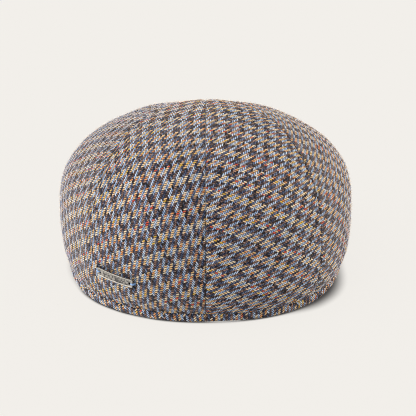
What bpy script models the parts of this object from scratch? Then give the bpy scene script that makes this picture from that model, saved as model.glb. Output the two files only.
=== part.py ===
"""A flat cap of woven wool: six crown panels, a turned hem, a short curved peak and a small metal plate.

Metres, +Z up, +Y forward towards the peak. The cap stands on its hem and on the flanks of its peak, and
the origin lies on the surface under the middle of its box. Angles, in radians inside the functions and
in degrees in the named sizes, run round the head opening from the back seam (0) over the +X side (90)
to the middle of the peak (180). A share up the crown runs from 0 at the hem to 1 at the apex.
"""

import functools
import math

import bmesh
import bpy
from mathutils import Vector

# Cloth, and the gap between pieces that touch
CLOTH = 0.0020
CLEARANCE = 0.0003

# Head opening, measured outside the hem
HEAD_HALF_WIDTH = 0.0905
HEAD_HALF_LENGTH = 0.1020
HEAD_SQUARE_SHARE = 0.015

# Hem: its height, how far it leans out, and how its underside rises from the surface
HEM_HEIGHT = 0.0055
HEM_LEAN = 0.0007
HEM_FLAT_LEFT = 50.0
HEM_FLAT_RIGHT = 33.0
HEM_ARCH_LEFT = 0.0032
HEM_ARCH_RIGHT = 0.0045
HEM_FRONT_RISE = 0.0240

# Peak: its corners lie under the side-front seams, the cap's front swells from a little behind them,
# and the peak's two feet come a little in front of them
PEAK_REACH = 0.0520
PEAK_THICKNESS = 0.0035
PEAK_TIP_LIFT = 0.0180
PEAK_CAMBER = 0.0012
PEAK_CORNER_TURN = 14.0
PEAK_FOOT_TURN = 18.0

# Crown: how far it stands out past the opening, how far its foot turns towards the peak, its height
# behind, and its apex
SIDE_BULGE = 0.0060
BACK_BULGE = 0.0085
FRONT_COVER = 0.0300
FOOT_TURN = 7.0
FOOT_TURN_START = 75.0
CROWN_HEIGHT = 0.1193
APEX_HEIGHT = 0.1010
APEX_SHIFT = 0.0340
APEX_OPENING = 0.0010

# Seams of the crown: the side-back ones turn forward over the shoulder, past SEAM_TURN_SHARE of the way up
SIDE_BACK_SEAM_FOOT = 48.0
SIDE_BACK_SEAM_TOP = 55.0
SIDE_FRONT_SEAM = 109.0
SEAM_TURN_SHARE = 0.4
SEAM_DIP = 0.0008
SEAM_DIP_WIDTH = 0.0070
SEAM_DIP_FADE_SHARE = 0.1

# Rows of the crown from the hem up. The reaches back, aside and in front are shares of how far the
# crown stands from the opening's middle, centre is a share of the apex's shift, and the rises are
# shares of the crown's height
CROWN_ROWS = (
    # back, side, front, centre, back_rise, side_rise, front_rise
    (0.984, 0.970, 0.985, 0.10, 0.144, 0.140, 0.246),
    (1.000, 1.000, 0.950, 0.20, 0.354, 0.328, 0.320),
    (0.975, 0.970, 0.850, 0.35, 0.590, 0.520, 0.411),
    (0.870, 0.850, 0.690, 0.55, 0.806, 0.655, 0.539),
    (0.640, 0.655, 0.545, 0.75, 0.945, 0.760, 0.640),
    (0.310, 0.365, 0.420, 0.95, 1.000, 0.835, 0.748),
    (0.020, 0.170, 0.340, 0.99, 0.968, 0.850, 0.808),
)

# The seams that each panel lies between, as the angles at their foot and at the apex
CENTRE_BACK = (0.0, 0.0)
SIDE_BACK = (SIDE_BACK_SEAM_FOOT, SIDE_BACK_SEAM_TOP)
SIDE_FRONT = (SIDE_FRONT_SEAM, SIDE_FRONT_SEAM)
CENTRE_FRONT = (180.0, 180.0)
PANELS = {
    "back_panel": (CENTRE_BACK, SIDE_BACK),
    "side_panel": (SIDE_BACK, SIDE_FRONT),
    "front_panel": (SIDE_FRONT, CENTRE_FRONT),
}
SIDES = {"left": -1, "right": 1}

# Plate, sewn to the left back panel
PLATE_LENGTH = 0.0278
PLATE_WIDTH = 0.0053
PLATE_THICKNESS = 0.0009
PLATE_ANGLE = 35.0
PLATE_RISE = 0.0266
PLATE_TILT = 6.5
PLATE_HOLE = 0.0016
PLATE_HOLE_INSET = 0.0022

# Fineness of the meshes
PANEL_COLUMNS = 12
PANEL_ROWS = 16
HEM_STEPS = 96
PEAK_COLUMNS = 36
PEAK_ROWS = 6
PLATE_COLUMNS = 12
HOLE_SIDES = 12
SHARP_ANGLE = 40.0

# Slopes are taken over this step, and a height on the crown is found by this many halvings
STEP = 0.0005
HALVINGS = 30

WOOL_COLOUR = (0.22, 0.19, 0.18, 1.0)
METAL_COLOUR = (0.45, 0.44, 0.42, 1.0)


def eased(share):
    """A smooth step from 0 to 1, level at both ends."""
    share = min(max(share, 0.0), 1.0)
    return 0.5 - 0.5 * math.cos(math.pi * share)


def oval(angle):
    """How far aside and how far back the unit head oval reaches at an angle."""
    aside = math.sin(angle) + HEAD_SQUARE_SHARE * math.sin(3 * angle)
    behind = math.cos(angle) - HEAD_SQUARE_SHARE * math.cos(3 * angle)
    return aside / (1 - HEAD_SQUARE_SHARE), behind / (1 - HEAD_SQUARE_SHARE)


def head_point(angle, out=0.0):
    """A point of the head oval in plan, moved outwards at a right angle to the oval."""
    aside, behind = oval(angle)
    aside_next, behind_next = oval(angle + STEP)
    along_x = (aside_next - aside) * HEAD_HALF_WIDTH
    along_y = (behind - behind_next) * HEAD_HALF_LENGTH
    outward = Vector((along_y, -along_x)).normalized()
    return Vector((aside * HEAD_HALF_WIDTH, -behind * HEAD_HALF_LENGTH)) + outward * out


def foot_turn(degrees):
    """How far the foot of a line of the crown turns towards the peak, to stand under the line."""
    share = (degrees - FOOT_TURN_START) / (180.0 - FOOT_TURN_START)
    return FOOT_TURN * math.sin(math.pi * max(share, 0.0)) ** 2


PEAK_CORNER = SIDE_FRONT_SEAM + foot_turn(SIDE_FRONT_SEAM)
PEAK_START = PEAK_CORNER - PEAK_CORNER_TURN
PEAK_FOOT = PEAK_CORNER + PEAK_FOOT_TURN


def front_share(angle):
    """0 round the back and sides, 1 at the middle of the peak."""
    return eased((abs(math.degrees(angle)) - PEAK_START) / (180.0 - PEAK_START))


def hem_lift(angle):
    """How high the underside of the hem stands."""
    flat, arch = (HEM_FLAT_RIGHT, HEM_ARCH_RIGHT) if angle > 0 else (HEM_FLAT_LEFT, HEM_ARCH_LEFT)
    side = arch * eased((abs(math.degrees(angle)) - flat) / (90.0 - flat))
    return side + (HEM_FRONT_RISE - arch) * front_share(angle)


def hem_lean(angle):
    """How far the hem's upper edge stands out past its lower one."""
    return HEM_LEAN * (1.0 - front_share(angle))


def peak_edge_lift(angle):
    """How high the underside of the peak's outer edge stands: on the surface at the two feet."""
    degrees = abs(math.degrees(angle))
    if degrees >= PEAK_FOOT:
        return PEAK_TIP_LIFT * eased((degrees - PEAK_FOOT) / (180.0 - PEAK_FOOT))
    corner = math.copysign(math.radians(PEAK_CORNER), angle)
    corner_lift = hem_lift(corner) + HEM_HEIGHT - PEAK_THICKNESS
    return corner_lift * eased((PEAK_FOOT - degrees) / (PEAK_FOOT - PEAK_CORNER))


def carrier_top(angle, out):
    """The height of what the crown sits on: the hem, and further out the peak."""
    inner = hem_lift(angle) + HEM_HEIGHT
    if out <= 0.0 or abs(math.degrees(angle)) < PEAK_CORNER:
        return inner
    share = min(out / (PEAK_REACH * front_share(angle)), 1.0)
    outer = peak_edge_lift(angle) + PEAK_THICKNESS
    camber = PEAK_CAMBER * math.sin(math.pi * share) * front_share(angle)
    return inner + (outer - inner) * share + camber


def crown_foot(angle, inset=0.0):
    """A point of the crown's lower edge, or of the cloth's inner side there."""
    turned = angle + math.copysign(math.radians(foot_turn(abs(math.degrees(angle)))), angle)
    out = FRONT_COVER * front_share(turned) - inset
    plan = head_point(turned, out + hem_lean(turned))
    return Vector((plan.x, plan.y, carrier_top(turned, out) + CLEARANCE))


def crown_row_point(row, angle):
    """A point of one of CROWN_ROWS at an angle."""
    back, side, front, centre, back_rise, side_rise, front_rise = row
    aside, behind = oval(angle)
    y_back = -back * (HEAD_HALF_LENGTH + BACK_BULGE)
    y_front = front * (HEAD_HALF_LENGTH + FRONT_COVER)
    y_centre = centre * APEX_SHIFT
    half_length = (y_front - y_back) / 2
    skew = y_centre - half_length - y_back
    tilt = (back_rise - front_rise) / 2
    saddle = (back_rise + front_rise) / 2 - side_rise
    x = side * (HEAD_HALF_WIDTH + SIDE_BULGE) * aside
    y = y_centre - half_length * behind - skew * behind**2
    z = CROWN_HEIGHT * (side_rise + tilt * behind + saddle * behind**2)
    return Vector((x, y, z))


class Meridian:
    """A line of the crown from the hem to the apex: a smooth curve through its rows at one angle."""

    def __init__(self, angle):
        self.points = [crown_foot(angle)]
        self.points += [crown_row_point(row, angle) for row in CROWN_ROWS]
        self.points.append(Vector((0.0, APEX_SHIFT, APEX_HEIGHT)))
        beyond = crown_row_point(CROWN_ROWS[-1], angle + math.pi)
        reached = self.points + [beyond]
        spans = [(b - a).length for a, b in zip(reached, reached[1:])]
        slopes = [(b - a) / span for a, b, span in zip(reached, reached[1:], spans)]
        inner = [
            (slopes[i] * spans[i + 1] + slopes[i + 1] * spans[i]) / (spans[i] + spans[i + 1])
            for i in range(len(spans) - 1)
        ]
        self.tangents = [slopes[0] * 2 - inner[0]] + inner
        self.spans = spans[:-1]
        self.length = sum(self.spans)

    def at(self, share):
        """The point at a share of the way up, by cubic pieces that meet with one tangent."""
        left = share * self.length
        i = 0
        while i < len(self.spans) - 1 and left > self.spans[i]:
            left -= self.spans[i]
            i += 1
        span = self.spans[i]
        t = left / span
        places = self.points[i] * (2 * t**3 - 3 * t**2 + 1) + self.points[i + 1] * (3 * t**2 - 2 * t**3)
        slopes = self.tangents[i] * (t**3 - 2 * t**2 + t) + self.tangents[i + 1] * (t**3 - t**2)
        return places + slopes * span


@functools.lru_cache(maxsize=None)
def meridian(angle):
    return Meridian(angle)


def crown_frame(angle, share):
    """A point of the crown's smooth surface, the way round it there for each radian, and its normal."""
    around = (meridian(angle + STEP).at(share) - meridian(angle - STEP).at(share)) / (2 * STEP)
    low = max(share - STEP, 0.0)
    upward = meridian(angle).at(low + 2 * STEP) - meridian(angle).at(low)
    return meridian(angle).at(share), around, around.cross(upward).normalized()


def seam_dip(distance, share):
    """How far the cloth dips at this distance from a seam; the dip fades out at hem and apex."""
    fade = eased(share / SEAM_DIP_FADE_SHARE) * eased((1.0 - share) / SEAM_DIP_FADE_SHARE)
    return SEAM_DIP * fade * (1.0 - eased(distance / SEAM_DIP_WIDTH))


def seam_angle(seam, share):
    """The angle of a seam at a share of the way up."""
    foot, top = seam
    return math.radians(foot + (top - foot) * eased((share - SEAM_TURN_SHARE) / (1.0 - SEAM_TURN_SHARE)))


def panel_point(panel, side, across, share, offset):
    """A point of a panel, at an offset outwards; its edges stop half a clearance short of the seams."""
    first, last = (seam_angle(seam, share) for seam in PANELS[panel])
    angle = SIDES[side] * (first + (last - first) * across)
    point, around, normal = crown_frame(angle, share)
    distance = min(across, 1.0 - across) * (last - first) * around.length
    point += around.normalized() * (SIDES[side] * CLEARANCE * (0.5 - across))
    return point + normal * (offset - seam_dip(distance, share))


def new_object(name, bm, material):
    bmesh.ops.recalc_face_normals(bm, faces=bm.faces)
    mesh = bpy.data.meshes.new(name)
    bm.to_mesh(mesh)
    bm.free()
    mesh.materials.append(material)
    mesh.shade_smooth()
    mesh.set_sharp_from_angle(angle=math.radians(SHARP_ANGLE))
    thing = bpy.data.objects.new(name, mesh)
    bpy.context.scene.collection.objects.link(thing)
    return thing


def fill_sheet(bm, top_rows, under_rows):
    """Two grids of points, the two sides of a sheet, made into one closed body."""
    top = [[bm.verts.new(point) for point in row] for row in top_rows]
    under = [[bm.verts.new(point) for point in row] for row in under_rows]
    rows, columns = len(top), len(top[0])
    for i in range(rows - 1):
        for j in range(columns - 1):
            bm.faces.new((top[i][j], top[i][j + 1], top[i + 1][j + 1], top[i + 1][j]))
            bm.faces.new((under[i][j], under[i + 1][j], under[i + 1][j + 1], under[i][j + 1]))
    rim = [(0, j) for j in range(columns)]
    rim += [(i, columns - 1) for i in range(1, rows)]
    rim += [(rows - 1, j) for j in range(columns - 2, -1, -1)]
    rim += [(i, 0) for i in range(rows - 2, 0, -1)]
    for (i, j), (k, m) in zip(rim, rim[1:] + rim[:1]):
        bm.faces.new((top[k][m], top[i][j], under[i][j], under[k][m]))


def build_panel(panel, side, material):
    """One crown panel between two seams."""
    acrosses = [eased(j / PANEL_COLUMNS) for j in range(PANEL_COLUMNS + 1)]
    top_share = 1.0 - APEX_OPENING / meridian(0.0).length
    outer_rows, inner_rows = [], []
    for i in range(PANEL_ROWS + 1):
        share = top_share * i / PANEL_ROWS
        outer_rows.append([panel_point(panel, side, across, share, 0.0) for across in acrosses])
        inner_rows.append([panel_point(panel, side, across, share, -CLOTH) for across in acrosses])
    first, last = (seam_angle(seam, 0.0) for seam in PANELS[panel])
    for j, across in enumerate(acrosses):
        angle = SIDES[side] * (first + (last - first) * across)
        edge_shift = outer_rows[0][j] - crown_foot(angle)
        inner_rows[0][j] = crown_foot(angle, CLOTH) + edge_shift
    bm = bmesh.new()
    fill_sheet(bm, outer_rows, inner_rows)
    return new_object(f"{panel}_{side}", bm, material)


def build_hem(material):
    """The turned hem: a closed ring round the head opening, under the crown and inside the peak."""
    bm = bmesh.new()
    sections = []
    for k in range(HEM_STEPS):
        angle = 2 * math.pi * k / HEM_STEPS - math.pi
        low = hem_lift(angle)
        high = low + HEM_HEIGHT
        lean = hem_lean(angle)
        section = []
        for out, height in ((0.0, low), (lean, high), (lean - CLOTH, high), (-CLOTH, low)):
            plan = head_point(angle, out)
            section.append(bm.verts.new((plan.x, plan.y, height)))
        sections.append(section)
    for a, b in zip(sections, sections[1:] + sections[:1]):
        for i in range(4):
            bm.faces.new((a[i], b[i], b[(i + 1) % 4], a[(i + 1) % 4]))
    return new_object("hem_band", bm, material)


def build_peak(material):
    """The peak: a curved sheet from the hem out to its edge, bowed down to its two feet."""
    corner = math.radians(PEAK_CORNER)
    top_rows, under_rows = [], []
    for i in range(PEAK_ROWS + 1):
        top_row, under_row = [], []
        for j in range(PEAK_COLUMNS + 1):
            angle = corner + (2 * math.pi - 2 * corner) * j / PEAK_COLUMNS
            if angle > math.pi:
                angle -= 2 * math.pi
            start = hem_lean(angle) + CLEARANCE
            out = start + (PEAK_REACH * front_share(angle) - start) * i / PEAK_ROWS
            plan = head_point(angle, out)
            height = carrier_top(angle, out)
            top_row.append(Vector((plan.x, plan.y, height)))
            under_row.append(Vector((plan.x, plan.y, height - PEAK_THICKNESS)))
        top_rows.append(top_row)
        under_rows.append(under_row)
    bm = bmesh.new()
    fill_sheet(bm, top_rows, under_rows)
    return new_object("peak", bm, material)


def share_at_height(angle, height):
    """The share of the way up the crown, in its lower half, at which it reaches a height."""
    low, high = 0.0, 0.5
    for _ in range(HALVINGS):
        middle = (low + high) / 2
        if meridian(angle).at(middle).z < height:
            low = middle
        else:
            high = middle
    return low


def plate_point(x, y, offset):
    """A point of the plate on the cloth: x along it towards the back seam, y up it, and an offset out."""
    tilt = math.radians(PLATE_TILT)
    level = x * math.cos(tilt) + y * math.sin(tilt)
    up = y * math.cos(tilt) - x * math.sin(tilt)
    middle = math.radians(PLATE_ANGLE)
    share = share_at_height(-middle, PLATE_RISE)
    angle = middle - level / crown_frame(-middle, share)[1].length
    share += up / meridian(-angle).length
    return panel_point("back_panel", "left", angle / seam_angle(SIDE_BACK, share), share, offset)


def build_plate(material):
    """The plate: a thin strip laid on the left back panel, with a sewing hole at each end."""
    top_rows, under_rows = [], []
    xs = [PLATE_LENGTH * (j / PLATE_COLUMNS - 0.5) for j in range(PLATE_COLUMNS + 1)]
    for y in (-PLATE_WIDTH / 2, 0.0, PLATE_WIDTH / 2):
        top_rows.append([plate_point(x, y, CLEARANCE + PLATE_THICKNESS) for x in xs])
        under_rows.append([plate_point(x, y, CLEARANCE) for x in xs])
    bm = bmesh.new()
    fill_sheet(bm, top_rows, under_rows)
    plate = new_object("badge_plate", bm, material)
    cutters = []
    for x in (PLATE_HOLE_INSET - PLATE_LENGTH / 2, PLATE_LENGTH / 2 - PLATE_HOLE_INSET):
        base = plate_point(x, 0.0, CLEARANCE)
        outward = plate_point(x, 0.0, CLEARANCE + PLATE_THICKNESS) - base
        bm = bmesh.new()
        radius = PLATE_HOLE / 2
        bmesh.ops.create_cone(
            bm, cap_ends=True, segments=HOLE_SIDES, radius1=radius, radius2=radius, depth=4 * PLATE_THICKNESS
        )
        cutter = new_object("plate_hole_cutter", bm, material)
        cutter.location = base
        cutter.rotation_euler = outward.to_track_quat("Z", "Y").to_euler()
        cutter.hide_render = True
        cutter.display_type = "WIRE"
        cut = plate.modifiers.new("sewing_hole", "BOOLEAN")
        cut.operation = "DIFFERENCE"
        cut.solver = "EXACT"
        cut.object = cutter
        cutters.append(cutter)
    return [plate] + cutters


def make_material(name, colour, roughness, metallic):
    material = bpy.data.materials.new(name)
    material.use_nodes = True
    shader = material.node_tree.nodes["Principled BSDF"]
    shader.inputs["Base Color"].default_value = colour
    shader.inputs["Roughness"].default_value = roughness
    shader.inputs["Metallic"].default_value = metallic
    return material


def place_on_origin(things):
    """Hangs the pieces on an empty that brings the middle of their box over the origin."""
    corners = [vertex.co for thing in things for vertex in thing.data.vertices if not thing.hide_render]
    empty = bpy.data.objects.new("cap", None)
    bpy.context.scene.collection.objects.link(empty)
    empty.location.x = -(min(c.x for c in corners) + max(c.x for c in corners)) / 2
    empty.location.y = -(min(c.y for c in corners) + max(c.y for c in corners)) / 2
    for thing in things:
        thing.parent = empty


def main():
    for old in list(bpy.data.objects):
        bpy.data.objects.remove(old, do_unlink=True)
    wool = make_material("wool", WOOL_COLOUR, 0.95, 0.0)
    metal = make_material("plate_metal", METAL_COLOUR, 0.4, 1.0)
    things = [build_panel(panel, side, wool) for panel in PANELS for side in SIDES]
    things += [build_hem(wool), build_peak(wool)]
    place_on_origin(things + build_plate(metal))


main()
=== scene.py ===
"""Looks of a woven wool flat cap: houndstooth cloth on its crown, hem and peak, and a small metal plate.

Metres, +Z up, +Y towards the peak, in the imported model's frame. Angles run round the head opening from
the back seam (0) over the +X side (90 degrees) to the middle of the peak, and are negative on the left.
Each cloth piece is a sheet over a patch of the cap's form. Its outer face is a lattice that follows the
threads, so warp and weft stand out in relief where they cross.
"""

import enum
import logging
import math
from dataclasses import dataclass
from typing import NamedTuple, Protocol

import bpy
import numpy as np
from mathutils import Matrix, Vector


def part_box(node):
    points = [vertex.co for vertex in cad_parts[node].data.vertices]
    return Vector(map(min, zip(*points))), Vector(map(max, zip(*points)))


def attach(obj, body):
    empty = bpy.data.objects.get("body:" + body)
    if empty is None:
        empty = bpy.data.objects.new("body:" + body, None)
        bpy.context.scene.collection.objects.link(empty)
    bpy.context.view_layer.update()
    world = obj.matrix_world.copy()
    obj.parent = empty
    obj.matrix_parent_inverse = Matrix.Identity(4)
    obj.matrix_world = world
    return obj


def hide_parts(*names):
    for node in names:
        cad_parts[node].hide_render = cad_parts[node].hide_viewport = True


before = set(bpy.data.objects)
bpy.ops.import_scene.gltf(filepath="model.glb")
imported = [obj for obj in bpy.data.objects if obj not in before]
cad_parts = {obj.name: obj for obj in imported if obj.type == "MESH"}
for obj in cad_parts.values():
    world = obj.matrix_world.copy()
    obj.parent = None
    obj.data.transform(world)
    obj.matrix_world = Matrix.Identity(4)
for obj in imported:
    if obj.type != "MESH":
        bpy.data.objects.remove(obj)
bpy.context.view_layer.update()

Array = np.ndarray
Colour = tuple[float, float, float]
Stops = tuple[tuple[float, Colour], ...]
Socket = bpy.types.NodeSocket

LEAST_LENGTH = 1e-12
LEAST_SHARE = 1e-9
PROBE = 1e-3
CHUNK = 4000

log = logging.getLogger("flat_cap")


def eased(share: Array | float) -> Array:
    """A smooth step from 0 to 1, level at both ends."""
    return 0.5 - 0.5 * np.cos(np.pi * np.clip(share, 0.0, 1.0))


def unit(vectors: Array) -> Array:
    """Rows scaled to length 1."""
    return vectors / np.maximum(np.linalg.norm(vectors, axis=-1, keepdims=True), LEAST_LENGTH)


def linear(red: float, green: float, blue: float) -> Colour:
    """A colour given on the display's scale of 0 to 255, as linear light."""
    shares = (red / 255.0, green / 255.0, blue / 255.0)
    return tuple(s / 12.92 if s <= 0.04045 else ((s + 0.055) / 1.055) ** 2.4 for s in shares)


def placed(name: str, data: bpy.types.ID) -> bpy.types.Object:
    """A new object of a mesh, a lamp or a camera, linked to the scene.

    Args:
        name: The object's name.
        data: What it shows.

    Returns:
        The object.
    """
    thing = bpy.data.objects.new(name, data)
    bpy.context.scene.collection.objects.link(thing)
    return thing


def cells(index: Array) -> Array:
    """The quads between the vertices of a grid."""
    return np.stack([index[:-1, :-1], index[1:, :-1], index[1:, 1:], index[:-1, 1:]], axis=-1)


class Side(enum.Enum):
    """The wearer's left or right half of the cap."""

    LEFT = -1
    RIGHT = 1


class Gore(enum.Enum):
    """The crown's kinds of panel, from the back seam to the front one."""

    BACK = "back_panel"
    SIDE = "side_panel"
    FRONT = "front_panel"


class CrownRow(NamedTuple):
    """One row of the crown: reaches and rises as shares of the crown's own sizes."""

    back: float
    side: float
    front: float
    centre: float
    back_rise: float
    side_rise: float
    front_rise: float


CROWN_ROWS = (
    CrownRow(0.984, 0.970, 0.985, 0.10, 0.144, 0.140, 0.246),
    CrownRow(1.000, 1.000, 0.950, 0.20, 0.354, 0.328, 0.320),
    CrownRow(0.975, 0.970, 0.850, 0.35, 0.590, 0.520, 0.411),
    CrownRow(0.870, 0.850, 0.690, 0.55, 0.806, 0.655, 0.539),
    CrownRow(0.640, 0.655, 0.545, 0.75, 0.945, 0.760, 0.640),
    CrownRow(0.310, 0.365, 0.420, 0.95, 1.000, 0.835, 0.748),
    CrownRow(0.020, 0.170, 0.340, 0.99, 0.968, 0.850, 0.808),
)


@dataclass(frozen=True)
class CapForm:
    """The smooth outer form of the cap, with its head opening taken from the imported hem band."""

    half_width: float
    half_length: float
    middle_y: float
    square_share: float = 0.015
    cloth: float = 0.0020
    clearance: float = 0.0003
    hem_height: float = 0.0055
    lean: float = 0.0007
    flat_left: float = 50.0
    flat_right: float = 33.0
    arch_left: float = 0.0032
    arch_right: float = 0.0045
    front_rise: float = 0.0240
    peak_reach: float = 0.0520
    peak_thickness: float = 0.0035
    tip_lift: float = 0.0180
    camber: float = 0.0012
    corner_turn: float = 14.0
    peak_foot_turn: float = 18.0
    side_bulge: float = 0.0060
    back_bulge: float = 0.0085
    front_cover: float = 0.0300
    foot_turn: float = 7.0
    foot_turn_start: float = 75.0
    crown_height: float = 0.1193
    apex_height: float = 0.1010
    apex_shift: float = 0.0340
    apex_opening: float = 0.0010
    side_front_seam: float = 109.0
    sunk: float = 0.0017
    sunk_at: float = -0.0200
    sunk_width: float = 0.0320
    sunk_from: float = 0.82
    sunk_over: float = 0.16
    slow_swell: float = 0.00032
    quick_swell: float = 0.00014

    @classmethod
    def from_frame(cls) -> "CapForm":
        """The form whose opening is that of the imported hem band.

        Returns:
            The form.
        """
        low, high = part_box("hem_band")
        half_length = (high.y - low.y - cls.lean) / 2
        return cls((high.x - low.x) / 2 - cls.lean, half_length, high.y - half_length)

    @property
    def peak_corner(self) -> float:
        """The angle, in degrees, of the peak's corners under the side-front seams."""
        return self.side_front_seam + float(self.turn_of_foot(np.array(self.side_front_seam)))

    def oval(self, angle: Array) -> tuple[Array, Array]:
        """How far aside and how far back the unit head oval reaches.

        Args:
            angle: Angles in radians.

        Returns:
            The two reaches at each angle.
        """
        aside = np.sin(angle) + self.square_share * np.sin(3 * angle)
        behind = np.cos(angle) - self.square_share * np.cos(3 * angle)
        return aside / (1 - self.square_share), behind / (1 - self.square_share)

    def head_points(self, angle: Array, out: Array) -> tuple[Array, Array]:
        """Plan points of the head oval, moved outwards at a right angle to it.

        Args:
            angle: Angles in radians.
            out: How far outwards each point lies.

        Returns:
            The x and y of the points.
        """
        aside, behind = self.oval(angle)
        along_x = (np.cos(angle) + 3 * self.square_share * np.cos(3 * angle)) * self.half_width
        along_y = (np.sin(angle) - 3 * self.square_share * np.sin(3 * angle)) * self.half_length
        length = np.hypot(along_x, along_y)
        x = aside * self.half_width + out * along_y / length
        y = self.middle_y - behind * self.half_length - out * along_x / length
        return x, y

    def turn_of_foot(self, degrees: Array) -> Array:
        """How far the foot of a line of the crown turns towards the peak, in degrees."""
        share = (degrees - self.foot_turn_start) / (180.0 - self.foot_turn_start)
        return self.foot_turn * np.sin(np.pi * np.maximum(share, 0.0)) ** 2

    def front_share(self, angle: Array) -> Array:
        """0 round the back and sides, 1 at the middle of the peak."""
        start = self.peak_corner - self.corner_turn
        return eased((np.abs(np.degrees(angle)) - start) / (180.0 - start))

    def hem_lift(self, angle: Array) -> Array:
        """How high the underside of the hem stands.

        Args:
            angle: Angles in radians.

        Returns:
            The height at each angle.
        """
        flat = np.where(angle > 0, self.flat_right, self.flat_left)
        arch = np.where(angle > 0, self.arch_right, self.arch_left)
        side = arch * eased((np.abs(np.degrees(angle)) - flat) / (90.0 - flat))
        return side + (self.front_rise - arch) * self.front_share(angle)

    def hem_lean(self, angle: Array) -> Array:
        """How far the hem's upper edge stands out past its lower one."""
        return self.lean * (1.0 - self.front_share(angle))

    def peak_edge_lift(self, angle: Array) -> Array:
        """How high the underside of the peak's outer edge stands.

        Args:
            angle: Angles in radians.

        Returns:
            The height at each angle.
        """
        degrees = np.abs(np.degrees(angle))
        foot = self.peak_corner + self.peak_foot_turn
        corner = np.copysign(math.radians(self.peak_corner), angle)
        corner_lift = self.hem_lift(corner) + self.hem_height - self.peak_thickness
        front = self.tip_lift * eased((degrees - foot) / (180.0 - foot))
        behind = corner_lift * eased((foot - degrees) / (foot - self.peak_corner))
        return np.where(degrees >= foot, front, behind)

    def carrier_top(self, angle: Array, out: Array) -> Array:
        """The height of what the crown sits on: the hem, and further out the peak.

        Args:
            angle: Angles in radians.
            out: How far outwards from the head oval.

        Returns:
            The height at each place.
        """
        inner = self.hem_lift(angle) + self.hem_height
        front = self.front_share(angle)
        share = np.clip(out / np.maximum(self.peak_reach * front, LEAST_SHARE), 0.0, 1.0)
        outer = self.peak_edge_lift(angle) + self.peak_thickness
        camber = self.camber * np.sin(np.pi * share) * front
        reached = (out > 0.0) & (np.abs(np.degrees(angle)) >= self.peak_corner)
        return np.where(reached, inner + (outer - inner) * share + camber, inner)

    def crown_foot(self, angle: Array) -> Array:
        """Points of the crown's lower edge.

        Args:
            angle: Angles in radians.

        Returns:
            The points, one row each.
        """
        turned = angle + np.copysign(np.radians(self.turn_of_foot(np.abs(np.degrees(angle)))), angle)
        out = self.front_cover * self.front_share(turned)
        x, y = self.head_points(turned, out + self.hem_lean(turned))
        return np.stack([x, y, self.carrier_top(turned, out) + self.clearance], axis=-1)

    def crown_row(self, row: CrownRow, angle: Array) -> Array:
        """Points of one row of the crown.

        Args:
            row: The row.
            angle: Angles in radians.

        Returns:
            The points, one row each.
        """
        aside, behind = self.oval(angle)
        y_back = -row.back * (self.half_length + self.back_bulge)
        y_front = row.front * (self.half_length + self.front_cover)
        y_centre = row.centre * self.apex_shift
        half_length = (y_front - y_back) / 2
        skew = y_centre - half_length - y_back
        tilt = (row.back_rise - row.front_rise) / 2
        saddle = (row.back_rise + row.front_rise) / 2 - row.side_rise
        x = row.side * (self.half_width + self.side_bulge) * aside
        y = self.middle_y + y_centre - half_length * behind - skew * behind**2
        z = self.crown_height * (row.side_rise + tilt * behind + saddle * behind**2)
        return np.stack([x, y, z], axis=-1)

    def crown_lines(self, angle: Array) -> tuple[Array, Array, Array]:
        """The crown's lines from hem to apex.

        Args:
            angle: One angle for each line.

        Returns:
            The lines' knots, their tangents at the knots, and the spans between the knots.
        """
        rows = [self.crown_foot(angle)] + [self.crown_row(row, angle) for row in CROWN_ROWS]
        apex = np.array([0.0, self.middle_y + self.apex_shift, self.apex_height])
        rows += [np.broadcast_to(apex, rows[0].shape), self.crown_row(CROWN_ROWS[-1], angle + np.pi)]
        knots = np.stack(rows, axis=1)
        steps = np.diff(knots, axis=1)
        spans = np.linalg.norm(steps, axis=2)
        slopes = steps / spans[:, :, None]
        before, after = spans[:, :-1, None], spans[:, 1:, None]
        inner = (slopes[:, 1:] * before + slopes[:, :-1] * after) / (before + after)
        tangents = np.concatenate([slopes[:, :1] * 2 - inner[:, :1], inner], axis=1)
        return knots[:, :-1], tangents, spans[:, :-1]

    def crown_length(self, angle: float) -> float:
        """The length of the crown's line at one angle."""
        return float(self.crown_lines(np.array([angle]))[2].sum())

    def crown(self, angle: Array, share: Array) -> Array:
        """Points of the crown at a share of the way up.

        Args:
            angle: Angles in radians.
            share: Shares of the way from hem to apex.

        Returns:
            The points, one row each.
        """
        knots, tangents, spans = self.crown_lines(angle)
        reach = np.concatenate([np.zeros((len(angle), 1)), np.cumsum(spans, axis=1)], axis=1)
        along = share * reach[:, -1]
        piece = (along[:, None] > reach[:, 1:-1]).sum(axis=1)
        row = np.arange(len(angle))
        span = spans[row, piece][:, None]
        t = (along - reach[row, piece])[:, None] / span
        places = knots[row, piece] * (2 * t**3 - 3 * t**2 + 1)
        places = places + knots[row, piece + 1] * (3 * t**2 - 2 * t**3)
        turns = tangents[row, piece] * (t**3 - 2 * t**2 + t)
        turns = turns + tangents[row, piece + 1] * (t**3 - t**2)
        return places + turns * span

    def undulation(self, points: Array) -> Array:
        """The slight unevenness of soft cloth, with the sunken top of the crown.

        Args:
            points: Points of the form.

        Returns:
            How far outwards the cloth lies at each.
        """
        x, y, z = points.T * (2 * np.pi)
        slow = np.sin(x / 0.071 + z / 0.090 + 0.6) * np.sin(y / 0.083 - z / 0.061 + 1.9)
        quick = np.sin(x / 0.037 - y / 0.049 + 2.4) * np.sin(z / 0.031 + y / 0.058)
        beside = (points[:, 0] - self.sunk_at) / self.sunk_width
        height = points[:, 2] / self.crown_height
        sunk = self.sunk * np.exp(-(beside**2)) * eased((height - self.sunk_from) / self.sunk_over)
        return self.slow_swell * slow + self.quick_swell * quick - sunk


class Surface(Protocol):
    """A patch of the cap's form over the unit square, seen from outside with s to the right and t up."""

    def points(self, s: Array, t: Array) -> Array:
        """The points at s and t."""


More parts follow.
